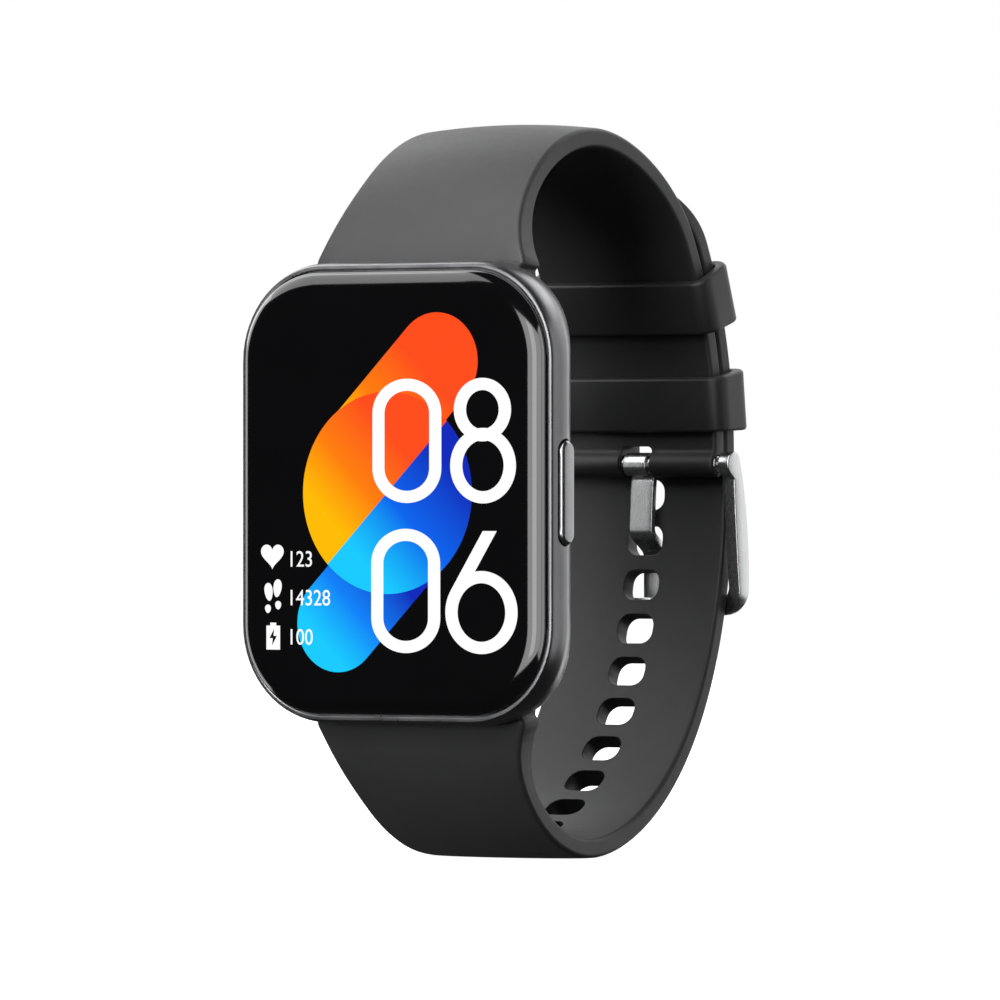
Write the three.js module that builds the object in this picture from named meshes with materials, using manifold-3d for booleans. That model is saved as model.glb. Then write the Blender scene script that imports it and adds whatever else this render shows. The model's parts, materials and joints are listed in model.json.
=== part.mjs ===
// A rectangular smartwatch with its silicone strap buckled into a loop. Millimetres.
// +X is the button side, +Z is twelve o'clock and +Y runs from the display to the wrist.
// The origin is the middle of the sensor window's flat face, where the watch meets the wrist.

import * as THREE from "three";
import { mergeVertices } from "three/addons/utils/BufferGeometryUtils.js";
import Module from "manifold-3d";

const wasm = await Module();
wasm.setup();

// ---------------------------------------------------------------- driving dimensions

const caseWidth = 35.5;
const caseHeight = 43.5;
const thickness = 10.8; // glass front to sensor window
const caseCorner = 9.3; // radius of the outline
const lugWidth = 6.15; // metal beside each strap pocket
const sideWall = 5.3; // case side to the inner cavity
const pocketWall = 1.3; // strap pocket to the inner cavity
const cavityCorner = 3;
const rimDepth = 1.45; // glass front to the metal rim
const rimInset = 0.5; // how far the rim stands in from the widest line
const rimWidth = 0.25;
const bellyFront = 3.4; // the case is widest between these two depths
const bellyBack = 3.6;
const endInset = { most: 1.7, power: 2.2 }; // how far the back edge draws in at the strap ends
const sideInset = { most: 3.75, power: 1.3 }; // and at the sides, where the case tapers more
const edgeChamfer = 0.3;
const caseBackDepth = 9.4;

const glassThickness = 1.7;
const glassMargin = 1.75; // width of the curved edge
const glassDrop = 1.35; // fall of the curved edge
const glassGap = 0.15;
const adhesive = 0.15;
const panelThickness = 1.05;
const panelLedge = 2.85; // panel pocket beyond the cavity
const panelPocketReach = 4.3; // panel pocket beyond the cavity at the strap ends
const bracketThickness = 0.6;
const boardThickness = 0.8;
const boardStandoff = 0.7;
const innerCorner = 7; // corner radius of bracket and board

const coverThickness = 0.85;
const coverProud = 0.2; // cover beyond the back edge of the case
const coverLedge = 0.7;
const gasketThickness = 0.25;
const domeBand = 0.95; // dome's foot to the nearest edge of the cover
const domeSlope = 0.6;
const domeHeight = 0.75;
const domeRing = 2.3; // dome's flat ring round the window
const windowCurve = 2.7; // rounded rim of the window
const windowThickness = 0.9;
const sensorBoardRim = 1.1; // window edge to the sensor board's edge
const sensorBoardThickness = 0.4;
const padRadius = 1.1;
const padSpacing = 5.6;
const padProud = 0.08;

const bossRadius = 1.5;
const bossInset = 1.4; // boss centre from the cavity walls
const screwShank = 0.5;
const screwHead = 0.95;
const screwHeadDepth = 0.45;
const screwLength = 2.6;

const motorRadius = 4;
const motorThickness = 2.6;
const lowerRow = 9.4; // height of the row below the battery

const buttonLength = 9.7;
const buttonWidth = 2.05;
const buttonProud = 0.4;
const buttonBody = 1.15; // cap thickness
const buttonDepth = 3.4; // centre of the cap behind the glass front
const buttonTravel = 0.35;
const buttonBevel = 0.22;
const slotGap = 0.15; // around the button
const stemRadius = 0.55;
const stemDepth = 3.78;
const stemReach = 0.75; // stem beyond the cavity wall
const stemGroove = 0.32; // radius at the grooves of the clip and the seal
const sealSetback = 1.1; // seal behind the cap
const sealRadius = 0.48;
const clipRadius = 0.85;
const clipThickness = 0.2;
const switchSize = [2.3, 1.6, 4.2]; // X, Y and Z
const switchGap = 0.6; // stem end to the switch
const plungerDepth = 0.5; // plunger inside the switch

const strapWidth = 18;
const strapThickness = 1.8;
const strapEndThickness = 3;
const strapEdge = 0.5; // edge radius of the strap
const wideRun = 3; // strap length at full width
const taperRun = 12; // strap length where it has thinned to its even thickness
const taperFade = 7; // length in which the extra width falls to about a third
const pocketGap = 0.25; // strap to pocket
const barrelRadius = 1.9; // strap end around the spring bar
const barInset = 2.85; // spring bar from the case end
const barBehind = 3.8; // spring bar in front of the wrist face

const loopTop = 33.8; // highest line of the loop, from the middle
const topAt = 11.7; // where the upper strap is highest
const bottomAt = 11; // where the lower strap is lowest
const backRadius = 41.3; // the back of the loop
const backReach = 34.05; // furthest line of the upper strap from the wrist face
const backCentre = 3.93; // height of that arc's centre
const backTop = THREE.MathUtils.degToRad(30); // where the back arc ends above
const strapGap = 0.15; // between the two straps
const rise = { lean: -0.2, start: 6.4, end: 9.6 }; // fullness of the rising curves
const shoulder = { start: 6.3, end: 5.7 };
const fall = { lean: -0.2, start: 6.8, end: 8.5 };
const sweepUp = { start: 9, end: 29.9 };
const crossAt = THREE.MathUtils.degToRad(0.9); // where the lower strap starts its arc
const tipAt = THREE.MathUtils.degToRad(37.8); // tail tip
const tipRun = 7.8; // length of the rounded tail tip

const holeWidth = 4;
const holeLength = 3;
const holeCorner = 1.2;
const holePitch = 4.5;
const holesBeyond = 5; // towards the tail from the one in use
const holesBefore = 8; // towards the case
const buckledHoleZ = -4.7;

const keeperLength = 5.5;
const keeperWall = 1;
const keeperSide = 1.2;
const keeperGap = 0.12;
const fixedKeeperAt = THREE.MathUtils.degToRad(6.7);
const freeKeeperAt = THREE.MathUtils.degToRad(20.6);

const hingeZ = 2.8; // buckle bar
const hingeInset = 0.35; // buckle bar from the strap's middle line, towards the wrist
const buckleBarrel = 1.25;
const slotWidth = 3.4;
const slotReach = 1.75; // slot beyond the buckle bar
const armGap = 0.55; // strap edge to buckle arm
const armWidth = 1.35;
const earRadius = 1.2;
const frameReach = 14.7; // buckle bar to the far edge of the frame
const farBarHeight = 1.7;
const farBarDepth = 0.85;
const frameCorner = 2.6;
const frameBow = 0.5; // how far the arms bow out
const tongueWidth = 2.6;
const tongueThickness = 0.75;
const tongueRoot = 1.15;
const tonguePlay = 0.25; // tongue to the strap that it holds
const farBarGap = 0.25; // far edge of the frame to the strap

const tubeRadius = 0.8;
const tipRadius = 0.38;
const headRadius = 0.5;
const boreGap = 0.06; // running gap around pins and tips
const crimp = 0.3;
const tubeShort = 0.5; // tube end to the pocket wall
const tipReach = 1.1; // tip into its hole
const headLength = 3.4;
const knobRadius = 0.36;
const knobFromEnd = 1.9; // knob from the pocket wall
const releaseTravel = 1.3;
const tipTravel = 1;
const springLength = 3; // at its pressed length
const springWire = 0.1;
const springTurns = 4;

const seat = 0.05; // between pieces that rest on each other
const fine = 12; // sides of small round parts

// ---------------------------------------------------------------- derived sizes

const halfWidth = caseWidth / 2;
const halfHeight = caseHeight / 2;
const yAt = (depth) => depth - thickness; // depth behind the glass front to Y
const pocketHalf = halfWidth - lugWidth;
const barZ = halfHeight - barInset;
const barY = -barBehind;
const pocketRadius = barrelRadius + pocketGap;
const cavityX = halfWidth - sideWall;
const cavityZ = barZ - pocketRadius - pocketWall;
const glassX = halfWidth - rimInset - rimWidth - glassGap;
const glassZ = halfHeight - rimInset - rimWidth - glassGap;
const glassCorner = caseCorner - rimInset - rimWidth - glassGap;
const ledgeDepth = glassThickness + adhesive;
const panelDepth = glassThickness + seat;
const panelFloor = panelDepth + panelThickness + 0.15;
const bracketDepth = panelFloor + 0.15;
const boardDepth = bracketDepth + bracketThickness + boardStandoff;
const boardBack = boardDepth + boardThickness;
const domeFoot = Math.min(cavityX, cavityZ) + coverLedge - domeBand;
const domeRadius = domeFoot - domeSlope;
const windowRadius = domeRadius - domeRing;
const windowFlat = windowRadius - windowCurve;
const sensorBoardRadius = windowRadius - sensorBoardRim;
const coverLedgeDepth = caseBackDepth + coverProud - coverThickness - gasketThickness;
const coverDepth = coverLedgeDepth + gasketThickness;
const coverFace = coverDepth + coverThickness;
const windowSeat = thickness - windowThickness;
const sensorDepth = coverDepth + 0.1;
const padZ = -(domeFoot + cavityZ + coverLedge) / 2;
const bossX = cavityX - bossInset;
const bossZ = cavityZ - bossInset;
const strapHalf = strapWidth / 2;
const armInner = strapHalf + armGap;
const armOuter = armInner + armWidth;
const buttonFace = halfWidth + buttonProud;
const buttonInner = buttonFace - buttonBody; // back of the cap
const slotFloor = buttonInner - buttonTravel - seat;
const stemEnd = cavityX - stemReach;
const clipAt = cavityX - seat - clipThickness;
const switchEnd = stemEnd - switchGap;

// ---------------------------------------------------------------- solids

// A closed three.js geometry as a manifold-3d solid, with its faces pointing out.
function solid(geometry) {
  const bare = geometry.clone();
  bare.deleteAttribute("normal");
  bare.deleteAttribute("uv");
  const merged = mergeVertices(bare, 1e-4);
  const corners = merged.index.array;
  const kept = [];
  for (let i = 0; i < corners.length; i += 3) {
    const [a, b, c] = [corners[i], corners[i + 1], corners[i + 2]];
    if (a !== b && b !== c && c !== a) kept.push(a, b, c);
  }
  const vertProperties = merged.attributes.position.array;
  const make = (order) =>
    new wasm.Manifold(
      new wasm.Mesh({ numProp: 3, vertProperties, triVerts: new Uint32Array(order) }),
    );
  const made = make(kept);
  return made.volume() > 0 ? made : make(kept.reverse());
}

const join = (first, ...rest) => rest.reduce((body, part) => body.add(part), first);
const cut = (first, ...tools) => tools.reduce((body, tool) => body.subtract(tool), first);

function geometryOf(body) {
  const mesh = body.getMesh();
  const position = new Float32Array(mesh.numVert * 3);
  for (let i = 0; i < mesh.numVert; i++) {
    position.set(mesh.vertProperties.subarray(i * mesh.numProp, i * mesh.numProp + 3), i * 3);
  }
  const geometry = new THREE.BufferGeometry();
  geometry.setAttribute("position", new THREE.BufferAttribute(position, 3));
  geometry.setIndex(new THREE.BufferAttribute(new Uint32Array(mesh.triVerts), 1));
  geometry.computeVertexNormals();
  return geometry;
}

function box(x0, x1, y0, y1, z0, z1) {
  const geometry = new THREE.BoxGeometry(x1 - x0, y1 - y0, z1 - z0);
  return solid(geometry.translate((x0 + x1) / 2, (y0 + y1) / 2, (z0 + z1) / 2));
}

// A round rod along X.
function rodX(radius, x0, x1, y, z, sides = fine) {
  const geometry = new THREE.CylinderGeometry(radius, radius, x1 - x0, sides);
  return solid(geometry.rotateZ(Math.PI / 2).translate((x0 + x1) / 2, y, z));
}

// A round rod along Y.
function rodY(radius, y0, y1, x, z, sides = fine) {
  const geometry = new THREE.CylinderGeometry(radius, radius, y1 - y0, sides);
  return solid(geometry.translate(x, (y0 + y1) / 2, z));
}

// A turned piece about a line along Y, from [radius, y] points that start and end on the line.
function turned(points, x = 0, z = 0, sides = 32) {
  const profile = points.map(([radius, y]) => new THREE.Vector2(radius, y));
  return solid(new THREE.LatheGeometry(profile, sides).translate(x, 0, z));
}

function roundedRect(halfX, halfZ, radius) {
  const r = Math.min(radius, halfX - 0.01, halfZ - 0.01);
  const shape = new THREE.Shape();
  shape.absarc(halfX - r, halfZ - r, r, 0, Math.PI / 2);
  shape.absarc(r - halfX, halfZ - r, r, Math.PI / 2, Math.PI);
  shape.absarc(r - halfX, r - halfZ, r, Math.PI, 1.5 * Math.PI);
  shape.absarc(halfX - r, r - halfZ, r, 1.5 * Math.PI, 2 * Math.PI);
  return shape;
}

// An outline in X and Z, extruded along Y between two depths behind the glass front.
function plate(shape, front, back, curveSegments = 3) {
  const options = { depth: back - front, bevelEnabled: false, curveSegments };
  const geometry = new THREE.ExtrudeGeometry(shape, options);
  return solid(geometry.rotateX(Math.PI / 2).translate(0, yAt(back), 0));
}

// An outline in Y and Z, extruded along X.
function slabX(shape, x0, x1, curveSegments = 6) {
  const options = { depth: x1 - x0, bevelEnabled: false, curveSegments };
  const turn = new THREE.Matrix4().makeBasis(
    new THREE.Vector3(0, 1, 0),
    new THREE.Vector3(0, 0, 1),
    new THREE.Vector3(1, 0, 0),
  );
  const geometry = new THREE.ExtrudeGeometry(shape, options);
  return solid(geometry.applyMatrix4(turn).translate(x0, 0, 0));
}

// A skin through rings of equal point counts, closed by a fan over each end ring.
function loft(rings) {
  const count = rings[0].length;
  const points = rings.flat();
  const triangles = [];
  for (let ring = 0; ring < rings.length - 1; ring++) {
    for (let i = 0; i < count; i++) {
      const a = ring * count + i;
      const b = ring * count + ((i + 1) % count);
      triangles.push(a, b, b + count, a, b + count, a + count);
    }
  }
  for (const [ring, flip] of [[0, true], [rings.length - 1, false]]) {
    const middle = new THREE.Vector3();
    rings[ring].forEach((point) => middle.addScaledVector(point, 1 / count));
    points.push(middle);
    for (let i = 0; i < count; i++) {
      const a = ring * count + i;
      const b = ring * count + ((i + 1) % count);
      triangles.push(points.length - 1, flip ? b : a, flip ? a : b);
    }
  }
  const geometry = new THREE.BufferGeometry().setFromPoints(points);
  return solid(geometry.setIndex(triangles));
}

// One rounded-rectangle ring of the case or glass at a depth.
function outlineRing(halfX, halfZ, radius, depth, divisions = 3) {
  const points = roundedRect(halfX, halfZ, radius).getPoints(divisions);
  return points.map((point) => new THREE.Vector3(point.x, yAt(depth), point.y));
}

// ---------------------------------------------------------------- materials and the group

const finish = (color, roughness, metalness) =>
  new THREE.MeshStandardMaterial({ color, roughness, metalness });
const gunmetal = finish(0x6f6f72, 0.38, 1);
const steel = finish(0xaaacae, 0.32, 1);
const blackGlass = finish(0x050507, 0.05, 0);
const silicone = finish(0x262628, 0.6, 0);
const blackPlastic = finish(0x151516, 0.5, 0);
const paleMetal = finish(0xc4c5c8, 0.35, 1);
const gold = finish(0xc9a24a, 0.3, 1);
const circuit = finish(0x14402a, 0.6, 0);
const foil = finish(0x3a3f46, 0.45, 0.4);
const rubber = finish(0x1c1c1d, 0.8, 0);
const amber = finish(0xb5792c, 0.5, 0);
const emitter = finish(0x9fd8a4, 0.2, 0);

const watch = new THREE.Group();
watch.name = "smartwatch";

function add(name, body, material) {
  const mesh = new THREE.Mesh(geometryOf(body), material);
  mesh.name = name;
  watch.add(mesh);
}

// ---------------------------------------------------------------- case

// How far the case stands in from its widest line at a depth: an ellipse in front of the
// belly, a power curve behind it and a small chamfer at the back edge.
function caseInset(depth, { most, power }) {
  if (depth < bellyFront) {
    const t = (bellyFront - depth) / (bellyFront - rimDepth);
    return rimInset * (1 - Math.sqrt(Math.max(0, 1 - t * t * 0.96)));
  }
  if (depth <= bellyBack) return 0;
  return most * ((depth - bellyBack) / (caseBackDepth - bellyBack)) ** power;
}

function caseShell() {
  const backEdge = caseBackDepth - edgeChamfer;
  const depths = [rimDepth];
  for (let i = 1; i <= 3; i++) {
    depths.push(rimDepth + (bellyFront - rimDepth) * (1 - Math.cos((i * Math.PI) / 6)));
  }
  for (let i = 0; i <= 4; i++) depths.push(bellyBack + ((backEdge - bellyBack) * i) / 4);
  const ring = (at, depth, chamfer) => {
    const side = caseInset(at, sideInset) + chamfer;
    const end = caseInset(at, endInset) + chamfer;
    return outlineRing(halfWidth - side, halfHeight - end, caseCorner - side, depth);
  };
  const rings = depths.map((depth) => ring(depth, depth, 0));
  rings.push(ring(backEdge, caseBackDepth, edgeChamfer));
  return loft(rings);
}

// The open pocket that takes a strap end, with a round floor about the spring bar.
function strapPocket(end) {
  const outside = halfHeight + 2;
  const span = (z) => (end > 0 ? [z, outside] : [-outside, -z]);
  return join(
    rodX(pocketRadius, -pocketHalf, pocketHalf, barY, end * barZ, 24),
    box(-pocketHalf, pocketHalf, barY - pocketRadius, 4, ...span(barZ)),
    box(-pocketHalf, pocketHalf, barY, 4, ...span(barZ - pocketRadius)),
  );
}

const corners = [[1, 1], [-1, 1], [-1, -1], [1, -1]];

function caseBody() {
  const cavity = cut(
    plate(roundedRect(cavityX, cavityZ, cavityCorner), panelFloor, thickness),
    ...corners.map(([sx, sz]) =>
      rodY(bossRadius, yAt(boardDepth), yAt(coverLedgeDepth), sx * bossX, sz * bossZ),
    ),
  );
  const glassPocket = roundedRect(glassX + glassGap, glassZ + glassGap, glassCorner + glassGap);
  const panelPocket = roundedRect(cavityX + panelLedge, cavityZ + panelPocketReach, 6);
  const coverPocket = roundedRect(cavityX + coverLedge, cavityZ + coverLedge, cavityCorner + 0.7);
  const slot = buttonOutline(slotGap, slotFloor, halfWidth + 1);
  const holes = corners.map(([sx, sz]) =>
    rodX(
      tipRadius + boreGap,
      sx > 0 ? pocketHalf - 1 : -pocketHalf - tipReach - 0.1,
      sx > 0 ? pocketHalf + tipReach + 0.1 : 1 - pocketHalf,
      barY,
      sz * barZ,
    ),
  );
  const screwHoles = corners.map(([sx, sz]) =>
    rodY(
      screwShank + boreGap,
      yAt(coverFace - screwHeadDepth - screwLength - 0.3),
      yAt(thickness),
      sx * bossX,
      sz * bossZ,
    ),
  );
  return cut(
    caseShell(),
    plate(glassPocket, rimDepth - 1, ledgeDepth),
    plate(panelPocket, rimDepth - 1, panelFloor),
    cavity,
    plate(coverPocket, coverLedgeDepth, thickness),
    strapPocket(1),
    strapPocket(-1),
    slot,
    rodX(stemRadius + 0.1, cavityX - 1, halfWidth, yAt(stemDepth), 0),
    ...holes,
    ...screwHoles,
  );
}

function coverGlass() {
  const rings = [outlineRing(glassX, glassZ, glassCorner, glassThickness)];
  const steps = 5;
  for (let i = steps; i >= 0; i--) {
    const angle = (i / steps) * (Math.PI / 2);
    const inset = glassMargin * (1 - Math.sin(angle));
    const depth = glassDrop * (1 - Math.cos(angle));
    rings.push(outlineRing(glassX - inset, glassZ - inset, glassCorner - inset, depth));
  }
  return loft(rings);
}

function ringPlate(outer, inner, front, back) {
  return cut(plate(outer, front, back), plate(inner, front - 1, back + 1));
}

// ---------------------------------------------------------------- button

// The stadium of the button, grown by a gap, between two X planes.
function buttonOutline(gap, x0, x1) {
  const half = buttonWidth / 2 + gap;
  const shape = new THREE.Shape();
  shape.absarc(0, buttonLength / 2 + gap - half, half, 0, Math.PI);
  shape.absarc(0, half - buttonLength / 2 - gap, half, Math.PI, 2 * Math.PI);
  const body = slabX(shape, x0, x1);
  return body.translate([0, yAt(buttonDepth), 0]);
}

function sideButton() {
  const y = yAt(stemDepth);
  const sealAt = buttonInner - sealSetback;
  const stem = cut(
    rodX(stemRadius, stemEnd, buttonInner + 0.2, y, 0),
    ringX(stemGroove, 1, clipAt - 0.03, clipAt + clipThickness + 0.03, y, 0),
    ringX(stemGroove, 1, sealAt - 0.2, sealAt + 0.2, y, 0),
  );
  return join(
    buttonOutline(0, buttonInner, buttonFace - buttonBevel),
    buttonOutline(-buttonBevel * 0.5, buttonFace - buttonBevel - 0.01, buttonFace - buttonBevel * 0.4),
    buttonOutline(-buttonBevel, buttonFace - buttonBevel * 0.4 - 0.01, buttonFace),
    stem,
  );
}

// A round ring about a line along X.
function ringX(inner, outer, x0, x1, y, z) {
  return cut(rodX(outer, x0, x1, y, z), rodX(inner, x0 - 1, x1 + 1, y, z));
}

function buttonParts() {
  const y = yAt(stemDepth);
  const seal = new THREE.TorusGeometry(sealRadius, 0.12, 6, fine);
  seal.rotateY(Math.PI / 2).translate(buttonInner - sealSetback, y, 0);
  const clip = cut(
    ringX(stemGroove + 0.05, clipRadius, clipAt, clipAt + clipThickness, y, 0),
    box(clipAt - 1, clipAt + 1, y, y + 2, -0.3, 0.3),
  );
  const [sizeX, sizeY, sizeZ] = switchSize;
  const recess = switchEnd - plungerDepth - buttonTravel - 0.1;
  const housing = cut(
    box(switchEnd - sizeX, switchEnd, y - sizeY / 2, y + sizeY / 2, -sizeZ / 2, sizeZ / 2),
    box(recess, switchEnd + 1, y - 0.5, y + 0.5, -0.9, 0.9),
  );
  const plunger = box(switchEnd - plungerDepth, stemEnd - seat, y - 0.42, y + 0.42, -0.8, 0.8);
  add("side_button", sideButton(), gunmetal);
  add("button_seal", solid(seal), rubber);
  add("button_clip", clip, steel);
  add("switch_plunger", plunger, blackPlastic);
  add("tact_switch", housing, paleMetal);
}

// ---------------------------------------------------------------- inside the case

// The room that the switch takes out of the bracket and the board.
function switchNotch() {
  return box(switchEnd - switchSize[0] - 0.3, halfWidth, yAt(panelFloor), yAt(boardBack + 1), -2.6, 2.6);
}

function innerPlate(gap, front, back) {
  const outline = roundedRect(cavityX - gap, cavityZ - gap, innerCorner);
  return cut(plate(outline, front, back), switchNotch());
}

function displayParts() {
  const outer = roundedRect(glassX, glassZ, glassCorner);
  const panelX = cavityX + panelLedge - 0.3;
  const panelZ = cavityZ + panelPocketReach - 0.3;
  const inner = roundedRect(panelX + 0.35, panelZ + 0.35, 6);
  const panel = roundedRect(panelX, panelZ, 5.6);
  add("cover_glass", coverGlass(), blackGlass);
  const front = glassThickness + 0.03;
  add("glass_adhesive", ringPlate(outer, inner, front, ledgeDepth - 0.02), blackPlastic);
  add("display_panel", plate(panel, panelDepth, panelDepth + panelThickness), blackPlastic);

  const window = box(-4, 4, yAt(bracketDepth - 1), yAt(boardDepth), -cavityZ - 1, 4 - cavityZ);
  const bracket = innerPlate(0.2, bracketDepth, bracketDepth + bracketThickness);
  add("inner_bracket", cut(bracket, window), blackPlastic);
  add("display_flex", displayFlex(), amber);
}

// A thin ribbon that folds from the back of the display to the front of the board.
function displayFlex() {
  const front = yAt(panelDepth + panelThickness) + 0.12;
  const back = yAt(boardDepth) - 0.12;
  const bend = (back - front) / 2;
  const turnZ = 1.4 + bend - cavityZ;
  const run = 2.6;
  const outside = new THREE.Shape();
  outside.moveTo(front, turnZ + run);
  outside.lineTo(front, turnZ);
  outside.absarc(front + bend, turnZ, bend, Math.PI, 2 * Math.PI);
  outside.lineTo(back, turnZ + run);
  outside.lineTo(back - 0.15, turnZ + run);
  outside.absarc(front + bend, turnZ, bend - 0.15, 2 * Math.PI, Math.PI, true);
  outside.lineTo(front + 0.15, turnZ + run);
  return slabX(outside, -3, 3, 4);
}

function boardParts() {
  const back = yAt(boardBack) + seat;
  const bottom = -cavityZ;
  const rowTop = bottom + lowerRow;
  const battery = [yAt(boardBack) + 0.15, yAt(sensorDepth) - 0.2];
  const batteryX = bossX - bossRadius - 0.3;
  add("main_board", innerPlate(0.4, boardDepth, boardBack), circuit);
  add("shield_can", box(-8.9, -1.6, back, back + 1.4, bottom + 1.6, rowTop - 0.6), paleMetal);
  add("antenna_chip", box(-0.9, 1.1, back, back + 1, bottom + 1, bottom + 4.2), blackPlastic);
  const motor = rodY(motorRadius, back, back + motorThickness, 6.4, bottom + 1 + motorRadius, 24);
  add("vibration_motor", motor, steel);
  add("battery", box(-batteryX, batteryX, ...battery, rowTop, cavityZ - 0.6), foil);
}

// ---------------------------------------------------------------- back of the case

function backCover() {
  const outline = (grow) =>
    roundedRect(
      cavityX + coverLedge - 0.1 - grow,
      cavityZ + coverLedge - 0.1 - grow,
      cavityCorner + 0.6 - grow,
    );
  const bevel = 0.25;
  const dome = turned([
    [0, yAt(coverFace - 0.2)],
    [domeFoot, yAt(coverFace - 0.2)],
    [domeFoot, yAt(coverFace)],
    [domeRadius, yAt(coverFace + domeHeight * 0.6)],
    [domeRadius - 0.5, yAt(coverFace + domeHeight)],
    [0, yAt(coverFace + domeHeight)],
  ], 0, 0, 32);
  const screwCuts = corners.flatMap(([sx, sz]) => [
    rodY(screwShank + boreGap, -4, 2, sx * bossX, sz * bossZ),
    rodY(screwHead + boreGap, yAt(coverFace - screwHeadDepth), 2, sx * bossX, sz * bossZ),
  ]);
  const padCuts = [-1, 1].map((s) => rodY(padRadius + boreGap, -4, 2, (s * padSpacing) / 2, padZ));
  return cut(
    join(
      plate(outline(0), coverDepth, coverFace - bevel),
      plate(outline(bevel), coverFace - bevel - 0.01, coverFace),
      dome,
    ),
    rodY(sensorBoardRadius + 0.3, -4, 2, 0, 0, 32),
    rodY(windowRadius + boreGap, yAt(windowSeat) - seat, 2, 0, 0, 32),
    ...screwCuts,
    ...padCuts,
  );
}

function sensorWindow() {
  return turned([
    [0, yAt(windowSeat)],
    [windowRadius, yAt(windowSeat)],
    [windowRadius, yAt(windowSeat + 0.5)],
    [(windowRadius + windowFlat) / 2, yAt(thickness - 0.12)],
    [windowFlat, 0],
    [0, 0],
  ], 0, 0, 32);
}

// A countersunk screw with a cross recess, its head flush with the cover.
function backScrew(x, z) {
  const top = yAt(coverFace) - 0.02;
  const under = top - screwHeadDepth + 0.05;
  const screw = turned([
    [0, under - screwLength],
    [screwShank, under - screwLength],
    [screwShank, under],
    [screwHead, under],
    [screwHead, top],
    [0, top],
  ], x, z, fine);
  const bar = (dx, dz) => box(x - dx, x + dx, top - 0.22, top + 1, z - dz, z + dz);
  return cut(screw, bar(0.55, 0.12), bar(0.12, 0.55));
}

function backParts() {
  const outer = roundedRect(cavityX + coverLedge - 0.1, cavityZ + coverLedge - 0.1, cavityCorner + 0.6);
  const inner = roundedRect(cavityX + 0.12, cavityZ + 0.12, cavityCorner + 0.12);
  const gasket = [coverLedgeDepth + 0.03, coverDepth - 0.03];
  add("back_cover", backCover(), blackPlastic);
  add("back_gasket", ringPlate(outer, inner, ...gasket), rubber);
  corners.forEach(([sx, sz], i) => {
    add(`back_screw_${i + 1}`, backScrew(sx * bossX, sz * bossZ), steel);
  });
  for (const [name, side] of [["left", -1], ["right", 1]]) {
    const x = (side * padSpacing) / 2;
    const pad = rodY(padRadius, yAt(coverDepth), yAt(coverFace) + padProud, x, padZ, 24);
    add(`charge_pad_${name}`, pad, gold);
  }
  const boardBackFace = yAt(sensorDepth + sensorBoardThickness);
  const chip = (half, x, z) =>
    box(x - half, x + half, boardBackFace + 0.02, yAt(windowSeat) - 0.05, z - half, z + half);
  add("sensor_board", rodY(sensorBoardRadius, yAt(sensorDepth), boardBackFace, 0, 0, 32), circuit);
  add("optical_led_upper", chip(0.8, 0, 3.4), emitter);
  add("optical_led_lower", chip(0.8, 0, -3.4), emitter);
  add("photodiode", chip(1.3, 0, 0), blackPlastic);
  add("sensor_window", sensorWindow(), blackGlass);
}

// ---------------------------------------------------------------- spring bars

class Helix extends THREE.Curve {
  constructor(radius, turns, x0, x1, y, z) {
    super();
    Object.assign(this, { radius, turns, x0, x1, y, z });
  }

  getPoint(t, target = new THREE.Vector3()) {
    const angle = t * this.turns * 2 * Math.PI;
    return target.set(
      this.x0 + (this.x1 - this.x0) * t,
      this.y + this.radius * Math.cos(angle),
      this.z + this.radius * Math.sin(angle),
    );
  }
}

// A spring bar across X: a tube with a fixed tip at -X and a sprung pin at +X.
// wall is the plane that each tip enters, and a knob on the pin makes it quick to release.
function springBar(name, y, z, wall, travel, knob) {
  const tubeEnd = wall - tubeShort;
  const tip = wall + tipReach;
  const bore = headRadius + boreGap;
  const headEnd = tubeEnd - crimp - 0.05;
  const pinStart = headEnd - headLength;
  const springEnd = pinStart - travel - 0.05;
  const boreEnd = springEnd - springLength - 0.05;
  const hollow = (side) => [
    rodX(bore, ...[side * boreEnd, side * (tubeEnd - crimp)].sort((a, b) => a - b), y, z),
    rodX(tipRadius + boreGap, ...[side * boreEnd, side * wall].sort((a, b) => a - b), y, z),
  ];
  const knobX = wall - knobFromEnd;
  const slot = box(knobX - travel - 0.45, knobX + 0.45, y, y + 2, z - 0.42, z + 0.42);
  const tube = cut(rodX(tubeRadius, -tubeEnd, tubeEnd, y, z), ...hollow(1), ...hollow(-1));
  add(`${name}_tube`, knob ? cut(tube, slot) : tube, steel);
  const fixedTip = join(
    rodX(headRadius, -headEnd, -pinStart, y, z),
    rodX(tipRadius, -tip, -headEnd + 0.1, y, z),
  );
  add(`${name}_fixed_tip`, fixedTip, steel);
  const pin = join(
    rodX(headRadius, pinStart, headEnd, y, z),
    rodX(tipRadius, headEnd - 0.1, tip, y, z),
  );
  const lever = knob ? rodY(knobRadius, y, y + barrelRadius + 0.2, knobX, z) : null;
  add(`${name}_pin`, knob ? join(pin, lever) : pin, steel);
  const wire = new THREE.Shape().absarc(0, 0, springWire, 0, 2 * Math.PI);
  const coilRadius = bore - springWire - 0.06;
  const coilStart = springEnd - springLength + 0.12;
  const coil = new THREE.ExtrudeGeometry(wire, {
    steps: springTurns * 7,
    curveSegments: 2,
    extrudePath: new Helix(coilRadius, springTurns, coilStart, springEnd - 0.12, y, z),
  });
  add(`${name}_spring`, solid(coil), steel);
}

// ---------------------------------------------------------------- strap lines

// The middle lines of the straps lie in the YZ plane, as 2D curves of (y, z).
const arcCentre = new THREE.Vector2(backReach - backRadius, backCentre);
const outerRadius = backRadius + strapThickness + strapGap;

const onArc = (radius, angle) =>
  new THREE.Vector2(
    arcCentre.x + radius * Math.cos(angle),
    arcCentre.y + radius * Math.sin(angle),
  );

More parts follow.
